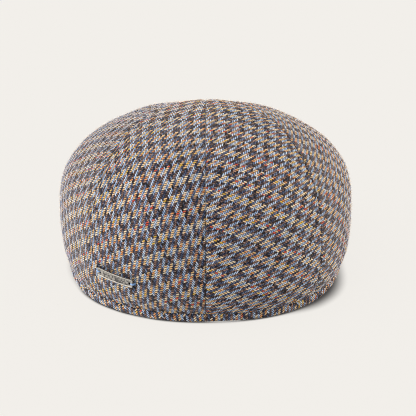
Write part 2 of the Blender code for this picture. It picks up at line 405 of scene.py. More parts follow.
@dataclass(frozen=True)
class Seam:
    """A seam of the crown: its angle at the hem and at the apex, in degrees."""

    foot: float
    top: float
    turn_from: float = 0.4

    def angle(self, share: Array) -> Array:
        """The seam's angle at a share of the way up, in radians."""
        risen = eased((share - self.turn_from) / (1.0 - self.turn_from))
        return np.radians(self.foot + (self.top - self.foot) * risen)


@dataclass(frozen=True)
class PanelSurface:
    """A crown panel between two seams."""

    form: CapForm
    side: Side
    near: Seam
    far: Seam

    def points(self, s: Array, t: Array) -> Array:
        """The points at s, which follows the signed angle, and t, from the hem to the apex.

        Args:
            s: Places from seam to seam.
            t: Places up the panel.

        Returns:
            The points, one row each.
        """
        top = 1.0 - self.form.apex_opening / self.form.crown_length(0.0)
        share = np.clip(t, 0.0, 1.0) * top
        near, far = self.near.angle(share), self.far.angle(share)
        if self.side is Side.RIGHT:
            return self.form.crown(near + (far - near) * s, share)
        return self.form.crown(-(far + (near - far) * s), share)


@dataclass(frozen=True)
class HemSurface:
    """The turned hem: down its outer face, round the fold and up its inner face, once round the opening."""

    form: CapForm
    fold: float = 0.0010
    floor_gap: float = 0.00035

    def points(self, s: Array, t: Array) -> Array:
        """The points at s, once round from behind, and t, from the inner top edge to the outer one.

        Args:
            s: Places round the opening.
            t: Places across the band.

        Returns:
            The points, one row each.
        """
        form = self.form
        angle = 2 * np.pi * s - LEAST_SHARE
        angle = np.where(angle > np.pi, angle - 2 * np.pi, angle)
        height = form.hem_height - self.floor_gap
        straight = height - self.fold
        path = np.clip(1.0 - t, 0.0, 1.0) * (2 * straight + np.pi * self.fold)
        turn = np.clip((path - straight) / self.fold, 0.0, np.pi)
        rise = np.where(path < straight, height - path, 0.0)
        rise = np.where(turn > 0.0, self.fold * (1.0 - np.sin(turn)), rise)
        inner = path > straight + np.pi * self.fold
        rise = np.where(inner, path - straight - np.pi * self.fold + self.fold, rise)
        out = -self.fold + self.fold * np.cos(turn) + form.hem_lean(angle) * rise / height
        x, y = form.head_points(angle, out)
        return np.stack([x, y, form.hem_lift(angle) + self.floor_gap + rise], axis=-1)


@dataclass(frozen=True)
class PeakSurface:
    """One face of the peak, from the hem outwards and part of the way round its edge."""

    form: CapForm
    upper: bool
    sewn_turn: float = -25.0
    edge_share: float = 0.07
    step: float = 0.0002

    def points(self, s: Array, t: Array) -> Array:
        """The points at s, corner to corner, and t, from the peak's edge in towards the hem or away.

        Args:
            s: Places along the edge.
            t: Places across the cover.

        Returns:
            The points, one row each.
        """
        form, step = self.form, self.step
        corner = math.radians(form.peak_corner)
        angle = corner + (2 * np.pi - 2 * corner) * s
        angle = np.where(angle > np.pi, angle - 2 * np.pi, angle)
        start = form.hem_lean(angle) + form.clearance
        reach = form.peak_reach * form.front_share(angle)
        slope_end = (form.carrier_top(angle, reach) - form.carrier_top(angle, reach - step)) / step
        half_end = form.peak_thickness / 2 * np.cos(np.arctan(slope_end))
        end = reach - half_end
        share = np.clip(1.0 - t, 0.0, 1.0) if self.upper else np.clip(t, 0.0, 1.0)
        on_face = np.clip(share / (1.0 - self.edge_share), 0.0, 1.0)
        round_edge = np.clip((share - 1.0 + self.edge_share) / self.edge_share, 0.0, 1.0)
        out = start + (end - start) * on_face
        top = form.carrier_top(angle, out)
        slope = (form.carrier_top(angle, out + step) - form.carrier_top(angle, out - step)) / (2 * step)
        lean = np.arctan(slope)
        half = form.peak_thickness / 2 * np.cos(lean)
        first, last = (90.0, self.sewn_turn) if self.upper else (-90.0, self.sewn_turn)
        turn = np.radians(first + (last - first) * round_edge)
        out_ring = out + half * (np.cos(turn) * np.cos(lean) - np.sin(turn) * np.sin(lean))
        height = top - form.peak_thickness / 2
        height = height + half * (np.cos(turn) * np.sin(lean) + np.sin(turn) * np.cos(lean))
        x, y = form.head_points(angle, out_ring)
        return np.stack([x, y, height], axis=-1)


@dataclass(frozen=True)
class Lip:
    """How a patch's outer face turns down at an edge: a round lip and a broad, shallow dip beside it."""

    roll: float = 0.0
    drop: float = 0.0
    dip: float = 0.0
    dip_width: float = 0.006

    def depth(self, distance: Array) -> Array:
        """How far the face lies below the form.

        Args:
            distance: Distances from the edge.

        Returns:
            The depth at each.
        """
        depth = self.dip * (1.0 - eased(distance / self.dip_width))
        if self.roll > 0.0:
            left = np.clip(1.0 - distance / self.roll, 0.0, 1.0)
            depth = depth + self.drop * (1.0 - np.sqrt(1.0 - left**2))
        return depth


class Crease(NamedTuple):
    """A narrow crease in the cloth along a line of close points."""

    line: Array
    drop: float = 0.0016
    width: float = 0.0030

    def share(self, points: Array) -> Array:
        """How near the middle of the crease each point lies, which also sets the painted shade there.

        Args:
            points: Points of the cloth.

        Returns:
            1 in the middle of the crease, 0 beside it.
        """
        share = np.zeros(len(points))
        low, high = self.line.min(0) - self.width, self.line.max(0) + self.width
        near = ((points > low) & (points < high)).all(axis=1)
        away = np.linalg.norm(points[near][:, None] - self.line[None], axis=2).min(axis=1)
        share[near] = 1.0 - eased(away / self.width)
        return share

    def depth(self, points: Array) -> Array:
        """How far the cloth lies below its form at each point."""
        return self.drop * self.share(points)


@dataclass(frozen=True)
class Weave:
    """A two-and-two twill: the pitch of its threads and how far they stand out."""

    warp_pitch: float = 0.00105
    weft_pitch: float = 0.00121
    relief: float = 0.00030
    crest: float = 0.88
    bridge: float = 1.0
    dive: float = 0.35
    trough: float = 0.25
    corner: float = 0.10

    def heights(self, a: Array, b: Array) -> Array:
        """How far the cloth stands out at the vertices of the half-thread lattice.

        Args:
            a: Twice the warp coordinate, whole numbers.
            b: Twice the weft coordinate, whole numbers.

        Returns:
            Heights from 0 to 1.
        """
        warp, weft = a // 2, b // 2
        here = (warp - weft) % 4 < 2
        below = (warp - weft + 1) % 4 < 2
        before = (warp - 1 - weft) % 4 < 2
        on_weft_edge = np.where(here | below, self.dive, self.trough)
        on_weft_edge = np.where(here & below, self.bridge, on_weft_edge)
        on_warp_edge = np.where(here & before, self.trough, self.dive)
        on_warp_edge = np.where(~here & ~before, self.bridge, on_warp_edge)
        odd_a, odd_b = a % 2 == 1, b % 2 == 1
        crests = np.full(a.shape, self.crest)
        return np.select([odd_a & odd_b, odd_a, odd_b], [crests, on_weft_edge, on_warp_edge], self.corner)


class Grain(NamedTuple):
    """Which way the threads' numbers rise on a patch, in degrees from its s direction."""

    warp: float
    weft: float


class FlatPattern:
    """A patch laid flat with as little strain as it allows, as the cloth was before it was shaped."""

    rounds: int = 30
    tries: int = 14
    longest_step: float = 0.12
    near_enough: float = 1e-6

    def __init__(self, surface: Surface, columns: int, rows: int, drawn_up: float = 0.0) -> None:
        """Lays the surface flat.

        Args:
            surface: The patch.
            columns: Grid lines along s.
            rows: Grid lines along t.
            drawn_up: The share by which the cloth's upper half was stretched when it was shaped.
        """
        self.columns, self.rows = columns, rows
        s, t = np.meshgrid(np.linspace(0, 1, columns), np.linspace(0, 1, rows))
        solid = surface.points(s.ravel(), t.ravel()).reshape(rows, columns, 3)
        self.widths = np.linalg.norm(np.diff(solid, axis=1), axis=2).sum(axis=1)
        self.flat = self._settled(solid, self._first_guess(solid))
        middle = self.flat[:, :, 1].max() / 2
        above = np.maximum(self.flat[:, :, 1] - middle, 0.0)
        self.flat[:, :, 1] -= drawn_up * above**2 / (2 * middle)
        self.padded = self._padded(self.flat)

    @staticmethod
    def _first_guess(solid: Array) -> Array:
        """A first flat grid: true lengths along each row and up the middle column.

        Args:
            solid: The grid's points on the form.

        Returns:
            The flat grid.
        """
        middle = solid.shape[1] // 2
        along = np.linalg.norm(np.diff(solid, axis=1), axis=2)
        along = np.concatenate([np.zeros((len(solid), 1)), np.cumsum(along, axis=1)], axis=1)
        up = np.linalg.norm(np.diff(solid[:, middle], axis=0), axis=1)
        up = np.concatenate([[0.0], np.cumsum(up)])
        along = along - along[:, middle : middle + 1]
        return np.stack([along, np.broadcast_to(up[:, None], along.shape)], axis=-1)

    def _settled(self, solid: Array, flat: Array) -> Array:
        """The flat grid whose cells are the nearest to the solid ones.

        Args:
            solid: The grid's points on the form.
            flat: The first flat grid.

        Returns:
            The settled flat grid.
        """
        index = np.arange(self.rows * self.columns).reshape(self.rows, self.columns)
        quads = np.stack([index[:-1, :-1], index[:-1, 1:], index[1:, 1:], index[1:, :-1]], axis=-1)
        quads = quads.reshape(-1, 4)
        corners = solid.reshape(-1, 3)[quads]
        along = unit(corners[:, 1] - corners[:, 0] + corners[:, 2] - corners[:, 3])
        across = unit(np.cross(corners[:, 2] - corners[:, 0], corners[:, 3] - corners[:, 1]))
        upward = np.cross(across, along)
        local = np.stack([(corners * along[:, None]).sum(-1), (corners * upward[:, None]).sum(-1)], axis=-1)
        pairs = ((0, 1), (1, 2), (2, 3), (3, 0), (0, 2), (1, 3))
        count = self.rows * self.columns
        system = np.zeros((count, count))
        for i, j in pairs:
            first, second = quads[:, i], quads[:, j]
            for row, column in ((first, first), (second, second), (first, second), (second, first)):
                np.add.at(system, (row, column), 1.0 if row is column else -1.0)
        system[0, 0] += 1.0
        solver = np.linalg.inv(system)
        places = flat.reshape(-1, 2).copy()
        for _ in range(self.rounds):
            now = places[quads]
            turn = np.zeros((len(quads), 2, 2))
            for i, j in pairs:
                turn += np.einsum("na,nb->nab", now[:, i] - now[:, j], local[:, i] - local[:, j])
            angle = np.arctan2(turn[:, 1, 0] - turn[:, 0, 1], turn[:, 0, 0] + turn[:, 1, 1])
            cos, sin = np.cos(angle), np.sin(angle)
            wanted = np.zeros((count, 2))
            for i, j in pairs:
                edge = local[:, i] - local[:, j]
                turned_x = cos * edge[:, 0] - sin * edge[:, 1]
                turned_y = sin * edge[:, 0] + cos * edge[:, 1]
                turned = np.stack([turned_x, turned_y], axis=-1)
                np.add.at(wanted, quads[:, i], turned)
                np.add.at(wanted, quads[:, j], -turned)
            wanted[0] += places[0]
            places = solver @ wanted
        grid = places.reshape(self.rows, self.columns, 2)
        middle = self.columns // 2
        axis = grid[self.rows // 2, middle] - grid[0, middle]
        tilt = math.atan2(axis[0], axis[1])
        cos, sin = math.cos(tilt), math.sin(tilt)
        return (grid - grid[0, middle]) @ np.array([[cos, sin], [-sin, cos]])

    @staticmethod
    def _padded(grid: Array) -> Array:
        """The grid with one more line on each side, carried on straight.

        Args:
            grid: The grid.

        Returns:
            The larger grid.
        """
        grid = np.concatenate([2 * grid[:1] - grid[1:2], grid, 2 * grid[-1:] - grid[-2:-1]], axis=0)
        first, last = 2 * grid[:, :1] - grid[:, 1:2], 2 * grid[:, -1:] - grid[:, -2:-1]
        return np.concatenate([first, grid, last], axis=1)

    def place(self, s: Array, t: Array) -> tuple[Array, Array, Array]:
        """Flat places of points of the patch, and how they change.

        Args:
            s: The points' s.
            t: The points' t.

        Returns:
            The flat places, and their slopes along s and along t.
        """
        along, up = s * (self.columns - 1), t * (self.rows - 1)
        column = np.clip(np.floor(along).astype(int), 0, self.columns - 2)
        row = np.clip(np.floor(up).astype(int), 0, self.rows - 2)
        weights_s, slopes_s = self._weights(along - column)
        weights_t, slopes_t = self._weights(up - row)
        shifts = np.arange(4)
        near = self.padded[row[:, None, None] + shifts[:, None], column[:, None, None] + shifts]
        places = np.einsum("ni,nj,nijk->nk", weights_t, weights_s, near)
        by_s = np.einsum("ni,nj,nijk->nk", weights_t, slopes_s, near) * (self.columns - 1)
        by_t = np.einsum("ni,nj,nijk->nk", slopes_t, weights_s, near) * (self.rows - 1)
        return places, by_s, by_t

    @staticmethod
    def _weights(f: Array) -> tuple[Array, Array]:
        """The weights of four neighbours on a smooth curve, and the weights' slopes.

        Args:
            f: How far each point lies from its second neighbour towards its third.

        Returns:
            The weights and their slopes, four each.
        """
        weights = (
            -f / 2 + f**2 - f**3 / 2,
            1 - 2.5 * f**2 + 1.5 * f**3,
            f / 2 + 2 * f**2 - 1.5 * f**3,
            (f**3 - f**2) / 2,
        )
        slopes = (
            -0.5 + 2 * f - 1.5 * f**2,
            -5 * f + 4.5 * f**2,
            0.5 + 4 * f - 4.5 * f**2,
            1.5 * f**2 - f,
        )
        return np.stack(weights, axis=1), np.stack(slopes, axis=1)

    def unplace(self, places: Array) -> tuple[Array, Array]:
        """The s and t of flat places inside the patch.

        Args:
            places: Flat places, one row each.

        Returns:
            Their s and t.
        """
        knots = self.flat.reshape(-1, 2)
        s, t = np.zeros(len(places)), np.zeros(len(places))
        for start in range(0, len(places), CHUNK):
            part = slice(start, start + CHUNK)
            nearest = ((places[part, None] - knots[None]) ** 2).sum(-1).argmin(1)
            s[part] = (nearest % self.columns) / (self.columns - 1)
            t[part] = (nearest // self.columns) / (self.rows - 1)
        left = np.arange(len(places))
        for _ in range(self.tries):
            found, by_s, by_t = self.place(s[left], t[left])
            miss = places[left] - found
            area = by_s[:, 0] * by_t[:, 1] - by_s[:, 1] * by_t[:, 0]
            area = np.where(np.abs(area) < LEAST_LENGTH, LEAST_LENGTH, area)
            step_s = (miss[:, 0] * by_t[:, 1] - miss[:, 1] * by_t[:, 0]) / area
            step_t = (miss[:, 1] * by_s[:, 0] - miss[:, 0] * by_s[:, 1]) / area
            s[left] = np.clip(s[left] + np.clip(step_s, -self.longest_step, self.longest_step), 0.0, 1.0)
            t[left] = np.clip(t[left] + np.clip(step_t, -self.longest_step, self.longest_step), 0.0, 1.0)
            left = left[np.abs(miss).max(1) > self.near_enough]
            if not len(left):
                break
        return s, t

    def rim(self, samples: int) -> tuple[Array, Array]:
        """Flat points round the patch's four edges, and how far round each is.

        Args:
            samples: Points on each edge.

        Returns:
            The flat points, closed, and their round coordinate from 0 to 4.
        """
        round_by = np.linspace(0.0, 4.0, 4 * samples + 1)
        s, t = square_rim(round_by)
        return self.place(s, t)[0], round_by


def square_rim(round_by: Array) -> tuple[Array, Array]:
    """The s and t of places on the rim of the unit square.

    Args:
        round_by: How far round each is, from 0 to 4, from s = t = 0.

    Returns:
        The s and t of each.
    """
    s = np.clip(np.where(round_by < 2, round_by, 3 - round_by), 0.0, 1.0)
    t = np.clip(np.where(round_by < 3, round_by - 1, 4 - round_by), 0.0, 1.0)
    return s, t


def line_distance(points: Array, line: Array) -> tuple[Array, Array]:
    """How far points are from a line of straight pieces.

    Args:
        points: Flat points.
        line: The line's points in order.

    Returns:
        The distances, and where on the line the nearest point is, counted in pieces.
    """
    start, step = line[:-1], np.diff(line, axis=0)
    square = np.maximum((step**2).sum(1), LEAST_SHARE**2)
    distance, where = np.zeros(len(points)), np.zeros(len(points))
    for first in range(0, len(points), CHUNK):
        part = slice(first, first + CHUNK)
        away = points[part, None] - start[None]
        along = np.clip((away * step[None]).sum(-1) / square, 0.0, 1.0)
        gap = ((away - along[..., None] * step[None]) ** 2).sum(-1)
        best = gap.argmin(1)
        row = np.arange(len(best))
        distance[part] = np.sqrt(gap[row, best])
        where[part] = best + along[row, best]
    return distance, where


def inside_line(points: Array, line: Array) -> Array:
    """Whether each flat point lies inside a closed line.

    Args:
        points: Flat points.
        line: The line's points in order, with the first one again at the end.

    Returns:
        One answer for each point.
    """
    x0, y0, x1, y1 = line[:-1, 0], line[:-1, 1], line[1:, 0], line[1:, 1]
    rise = np.where(y1 == y0, LEAST_LENGTH, y1 - y0)
    inside = np.zeros(len(points), bool)
    for first in range(0, len(points), CHUNK):
        part = slice(first, first + CHUNK)
        x, y = points[part, :1], points[part, 1:]
        crosses = (y0 > y) != (y1 > y)
        reach = x0 + (y - y0) / rise * (x1 - x0)
        inside[part] = (crosses & (x < reach)).sum(1) % 2 == 1
    return inside


def filled_mesh(name: str, places: Array, corners: Array, starts: Array) -> bpy.types.Mesh:
    """A mesh from arrays.

    Args:
        name: The mesh's name.
        places: Its vertices.
        corners: The vertices of its faces, face after face.
        starts: Where each face starts among the corners.

    Returns:
        The mesh.
    """
    mesh = bpy.data.meshes.new(name)
    mesh.vertices.add(len(places))
    mesh.vertices.foreach_set("co", places.astype(np.float32).ravel())
    mesh.loops.add(len(corners))
    mesh.loops.foreach_set("vertex_index", corners.astype(np.int32))
    mesh.polygons.add(len(starts))
    mesh.polygons.foreach_set("loop_start", starts.astype(np.int32))
    mesh.update(calc_edges=True)
    return mesh


@dataclass
class MeshParts:
    """Vertices, faces and what each vertex and corner carries, ready to become one mesh."""

    places: Array
    quads: Array
    triangles: Array
    threads: Array
    corner_uv: Array

    def joined(self, other: "MeshParts") -> "MeshParts":
        """Both in one, with each map squeezed into its own half.

        Args:
            other: The other parts.

        Returns:
            The joined parts.
        """
        shift = len(self.places)
        split = len(self.quads) * 4
        other_split = len(other.quads) * 4
        left = self.corner_uv * (0.5, 1.0)
        right = other.corner_uv * (0.5, 1.0) + (0.5, 0.0)
        return MeshParts(
            np.concatenate([self.places, other.places]),
            np.concatenate([self.quads, other.quads + shift]),
            np.concatenate([self.triangles, other.triangles + shift]),
            np.concatenate([self.threads, other.threads]),
            np.concatenate([left[:split], right[:other_split], left[split:], right[other_split:]]),
        )

    def to_object(self, name: str) -> bpy.types.Object:
        """A new object with these faces, shaded smooth.

        Args:
            name: The object's name.

        Returns:
            The object, linked to the scene.
        """
        corners = np.concatenate([self.quads.ravel(), self.triangles.ravel()])
        sides = np.concatenate([np.full(len(self.quads), 4), np.full(len(self.triangles), 3)])
        mesh = filled_mesh(name, self.places, corners, np.cumsum(sides) - sides)
        threads = mesh.attributes.new("weave", "FLOAT_VECTOR", "POINT")
        threads.data.foreach_set("vector", self.threads.astype(np.float32).ravel())
        uv_map = mesh.uv_layers.new(name="OFBake")
        uv_map.data.foreach_set("uv", self.corner_uv.astype(np.float32).ravel())
        mesh.shade_smooth()
        return placed(name, mesh)


class Lattice(NamedTuple):
    """The lattice of half threads over a patch: a row for each vertex in use, and the quads between them.

    The whole numbers a and b are twice the warp and weft coordinates. The core lies well inside the rim,
    and rim_round is how far round it, from 0 to 4, its nearest place is.
    """

    a: Array
    b: Array
    flat: Array
    core: Array
    rim_gap: Array
    rim_round: Array
    quads: Array


class Face(NamedTuple):
    """One face of a sheet, the vertices round its rim, and how far round the patch each of those is."""

    places: Array
    quads: Array
    threads: Array
    flat: Array
    rim: Array
    rim_round: Array


@dataclass
class ClothPatch:
    """A sheet of woven cloth over a patch of the cap's form, with lips at its foot, right, top and left."""

    surface: Surface
    grain: Grain
    number: int
    form: CapForm
    weave: Weave = Weave()
    lips: tuple[Lip, Lip, Lip, Lip] = (Lip(), Lip(), Lip(), Lip())
    gap: float = 0.0
    thickness: float = 0.0016
    columns: int = 25
    rows: int = 33
    first_thread: tuple[float, float] = (0.0, 0.0)
    drawn_up: float = 0.0
    crease: Crease | None = None
    inner_cell: float = 0.0040
    edge_share: float = 0.18
    rim_reach: float = 0.0065
    rim_samples: int = 44
    rim_height: float = 0.4
    most_inset: float = 0.35
    least_width: float = 1e-5
    map_margin: float = 0.002
    wall_on_map: float = 0.0016

    def parts(self) -> MeshParts:
        """The sheet: a relief lattice outside, a plain grid inside, and a wall between their rims.

        Returns:
            The sheet, with a map on which no two of its faces overlap.
        """
        self.pattern = FlatPattern(self.surface, self.columns, self.rows, self.drawn_up)
        self.rim_line, self.rim_round = self.pattern.rim(self.rim_samples)
        outer, inner = self._outer_face(), self._inner_face()
        shift = len(outer.places)
        wall = self._wall(outer.rim, outer.rim_round, inner.rim + shift, inner.rim_round)
        low = self.rim_line.min(0) - self.map_margin
        wide, tall = self.rim_line.max(0) + self.map_margin - low
        scale = 1.0 / max(2 * wide, tall)
        outer_uv = (outer.flat - low) * scale
        inner_uv = (inner.flat - low) * scale + (wide * scale, 0.0)
        pushed = inner.flat + unit(inner.flat - self.rim_line.mean(0)) * self.wall_on_map
        face_uv = np.concatenate([outer_uv, inner_uv])
        wall_uv = np.concatenate([outer_uv, (pushed - low) * scale])
        quads = np.concatenate([outer.quads, inner.quads + shift])
        return MeshParts(
            np.concatenate([outer.places, inner.places]),
            quads,
            wall,
            np.concatenate([outer.threads, inner.threads]),
            np.concatenate([face_uv[quads.ravel()], wall_uv[wall.ravel()]]),
        )

    def _threads(self, flat: Array) -> Array:
        """The warp and weft coordinates of flat places, with the patch's number."""
        places = flat @ self._thread_axes().T + np.array(self.first_thread)
        return np.concatenate([places, np.full((len(flat), 1), float(self.number))], axis=1)

    def _thread_axes(self) -> Array:
        """The matrix that turns flat places into warp and weft coordinates.

        Returns:
            A row for the warp and a row for the weft.
        """
        warp, weft = math.radians(self.grain.warp), math.radians(self.grain.weft)
        return np.array(
            [
                [math.cos(warp) / self.weave.warp_pitch, math.sin(warp) / self.weave.warp_pitch],
                [math.cos(weft) / self.weave.weft_pitch, math.sin(weft) / self.weave.weft_pitch],
            ]
        )

    def base(self, s: Array, t: Array) -> tuple[Array, Array]:
        """Points of the form, drawn in by half the seam's gap, and outward normals there.

        Args:
            s: The points' s.
            t: The points' t.

        Returns:
            The points and the normals.
        """
        width = np.interp(t, np.linspace(0, 1, self.rows), self.pattern.widths)
        inset = np.minimum(self.gap / 2 / np.maximum(width, self.least_width), self.most_inset)
        drawn = inset + (1.0 - 2 * inset) * s
        low_t, high_t = np.clip(t - PROBE, 0.0, 1.0 - PROBE), np.clip(t + PROBE, PROBE, 1.0)
        along = self.surface.points(drawn + PROBE, t) - self.surface.points(drawn - PROBE, t)
        up = self.surface.points(drawn, high_t) - self.surface.points(drawn, low_t)
        return self.surface.points(drawn, t), unit(np.cross(along, up))

    def _against_rim(self, flat: Array, stride: int = 10) -> tuple[Array, Array, Array]:
        """Where a lattice lies against the rim, found in blocks and near the rim one by one.

        Args:
            flat: The flat places, as a grid.
            stride: How many places a block is wide.

        Returns:
            Whether each place lies inside, how far from the rim, and where along it.
        """
        blocks = flat[stride // 2 :: stride, stride // 2 :: stride]
        shape = blocks.shape[:2]
        distance = line_distance(blocks.reshape(-1, 2), self.rim_line)[0].reshape(shape)
        told = inside_line(blocks.reshape(-1, 2), self.rim_line).reshape(shape)
        rows = np.minimum(np.arange(flat.shape[0]) // stride, shape[0] - 1)
        columns = np.minimum(np.arange(flat.shape[1]) // stride, shape[1] - 1)
        block = np.ix_(rows, columns)
        near = distance[block] < self.rim_reach + stride * self.weave.weft_pitch
        inside = told[block]
        inside[near] = inside_line(flat[near], self.rim_line)
        gap, where = np.full(near.shape, self.rim_reach), np.zeros(near.shape)
        gap[near], where[near] = line_distance(flat[near], self.rim_line)
        return inside, gap, where

    def _depth(self, flat: Array, rim_gap: Array) -> Array:
        """How far the outer face lies below the form, from all four edges.

        Args:
            flat: Flat places.
            rim_gap: How far each lies from the rim.

        Returns:
            The depth at each place.
        """
        samples = (len(self.rim_line) - 1) // 4
        depth = np.zeros(len(flat))
        near = rim_gap < self.rim_reach
        for edge, lip in enumerate(self.lips):
            if lip.roll == 0.0 and lip.dip == 0.0:
                continue
            line = self.rim_line[edge * samples : (edge + 1) * samples + 1]
            depth[near] = np.maximum(depth[near], lip.depth(line_distance(flat[near], line)[0]))
        return depth

    def _lattice(self) -> Lattice:
        """The lattice that fills the patch and runs over its rim by less than a cell.

        Returns:
            The lattice.
        """
        axes = self._thread_axes()
        offset = np.array(self.first_thread)
        span = self.rim_line @ axes.T + offset
        low = np.floor(span.min(0) * 2).astype(int) - 2
        high = np.ceil(span.max(0) * 2).astype(int) + 2
        a, b = np.meshgrid(np.arange(low[0], high[0] + 1), np.arange(low[1], high[1] + 1), indexing="ij")
        flat = (np.stack([a.ravel() / 2, b.ravel() / 2], axis=-1) - offset) @ np.linalg.inv(axes).T
        inside, rim_gap, rim_where = self._against_rim(flat.reshape(*a.shape, 2))
        core = inside & (rim_gap > self.edge_share * self.weave.warp_pitch)
        kept = core[:-1, :-1] | core[1:, :-1] | core[1:, 1:] | core[:-1, 1:]
        deepest = np.where(inside, rim_gap, 0.0)[:-1, :-1].argmax()
        kept = self._without_pinches(self._joined_to(kept, np.unravel_index(deepest, kept.shape)))
        used, quads = np.unique(cells(np.arange(a.size).reshape(a.shape))[kept], return_inverse=True)
        return Lattice(
            a.ravel()[used],
            b.ravel()[used],
            flat[used],
            core.ravel()[used],
            rim_gap.ravel()[used],
            np.interp(rim_where.ravel()[used], np.arange(len(self.rim_round)), self.rim_round),
            quads.reshape(-1, 4),
        )

    def _outer_face(self) -> Face:
        """The woven face: the lattice, with its outer vertices moved onto the patch's rim.

        Returns:
            The face.
        """
        lattice = self._lattice()
        loop = self._rim_loop(lattice.quads)
        on_rim = ~lattice.core
        on_rim[loop] = True
        rim_round = lattice.rim_round
        nearest = []
        for corner in range(4):
            at = self.rim_line[corner * (len(self.rim_line) - 1) // 4]
            nearest.append(((lattice.flat[loop] - at) ** 2).sum(1).argmin())
            rim_round[loop[nearest[-1]]] = corner
        loop = np.roll(loop, -nearest[0])
        loop_round = rim_round[loop]
        late = np.arange(len(loop)) > len(loop) * 0.75
        loop_round[late & (loop_round < 0.5)] = 4.0
        s, t = np.zeros(len(on_rim)), np.zeros(len(on_rim))
        s[~on_rim], t[~on_rim] = self.pattern.unplace(lattice.flat[~on_rim])
        s[on_rim], t[on_rim] = square_rim(rim_round[on_rim])
        flat = lattice.flat.copy()
        flat[on_rim] = self.pattern.place(s[on_rim], t[on_rim])[0]
        heights = self.weave.heights(lattice.a, lattice.b)
        heights[on_rim] = self.rim_height
        base, normal = self.base(s, t)
        lift = heights * self.weave.relief - self.weave.relief / 2 - self._depth(flat, lattice.rim_gap)
        if self.crease is not None:
            lift = lift - self.crease.depth(base)
        places = base + normal * (lift + self.form.undulation(base))[:, None]
        loop_round = np.maximum.accumulate(loop_round)
        return Face(places, lattice.quads, self._threads(flat), flat, loop, loop_round)

    @staticmethod
    def _joined_to(kept: Array, seed: tuple[int, int]) -> Array:
        """The cells that are joined to one cell by their sides.

        Args:
            kept: Whether each cell is in use.
            seed: The one cell's place in the grid.

        Returns:
            Whether each cell is joined to it.
        """
        reached = np.zeros(kept.shape, bool)
        reached[seed] = True
        waiting = [(int(seed[0]), int(seed[1]))]
        while waiting:
            a, b = waiting.pop()
            for cell in ((a + 1, b), (a - 1, b), (a, b + 1), (a, b - 1)):
                if kept[cell] and not reached[cell]:
                    reached[cell] = True
                    waiting.append(cell)
        return reached

    @staticmethod
    def _without_pinches(kept: Array) -> Array:
        """The area with cells added where two of its cells touch at a corner alone.

        Args:
            kept: Whether each cell is in use.

        Returns:
            The same, with the cells added.
        """
        kept = kept.copy()
        while True:
            a, b, c, d = kept[:-1, :-1], kept[1:, :-1], kept[1:, 1:], kept[:-1, 1:]
            falling, rising = a & c & ~b & ~d, b & d & ~a & ~c
            if not (falling.any() or rising.any()):
                return kept
            more = kept.copy()
            more[1:, :-1] |= falling
            more[:-1, :-1] |= rising
            kept = more

    @staticmethod
    def _rim_loop(quads: Array) -> Array:
        """The vertices round the rim of a sheet of quads, in the order that its faces run.

        Args:
            quads: The sheet's quads.

        Returns:
            The vertices' numbers.
        """
        starts = quads.ravel()
        ends = np.roll(quads, -1, axis=1).ravel()
        size = int(quads.max()) + 1
        rim = ~np.isin(starts * size + ends, ends * size + starts)
        following = dict(zip(starts[rim].tolist(), ends[rim].tolist()))
        first = next(iter(following))
        loop, at = [first], following[first]
        while at != first:
            loop.append(at)
            at = following[at]
        return np.array(loop)

    def _inner_face(self) -> Face:
        """The plain inner face.

        Returns:
            The face.
        """
        size = np.ptp(self.rim_line, axis=0)
        columns = max(int(size[0] / self.inner_cell), 6)
        rows = max(int(size[1] / self.inner_cell), 4)
        s, t = np.meshgrid(np.linspace(0, 1, columns + 1), np.linspace(0, 1, rows + 1))
        s, t = s.ravel(), t.ravel()
        flat = self.pattern.place(s, t)[0]
        base, normal = self.base(s, t)
        places = base + normal * (self.form.undulation(base) - self.thickness)[:, None]
        index = np.arange(len(s)).reshape(rows + 1, columns + 1)
        quads = cells(index).reshape(-1, 4)
        rim = np.concatenate([index[0, :-1], index[:-1, -1], index[-1, :0:-1], index[:0:-1, 0]])
        counts = (columns, rows, columns, rows)
        rim_round = [np.linspace(edge, edge + 1, count + 1)[:-1] for edge, count in enumerate(counts)]
        return Face(places, quads, self._threads(flat), flat, rim, np.concatenate(rim_round))

    @staticmethod
    def _wall(loop: Array, loop_round: Array, rim: Array, rim_round: Array) -> Array:
        """Triangles that join the outer face's rim to the inner face's.

        Args:
            loop: The outer rim's vertices.
            loop_round: How far round each is, from 0 to 4.
            rim: The inner rim's vertices.
            rim_round: How far round each is.

        Returns:
            The triangles.
        """
        triangles = []
        i = j = 0
        outer_next = np.append(loop_round[1:], 4.0 + LEAST_SHARE)
        inner_next = np.append(rim_round[1:], 4.0)
        while i < len(loop) or j < len(rim):
            here, there = loop[i % len(loop)], rim[j % len(rim)]
            step_outer = j >= len(rim) or (i < len(loop) and outer_next[i] <= inner_next[j])
            if step_outer:
                triangles.append((loop[(i + 1) % len(loop)], here, there))
                i += 1
            else:
                triangles.append((there, rim[(j + 1) % len(rim)], here))
                j += 1
        return np.array(triangles)


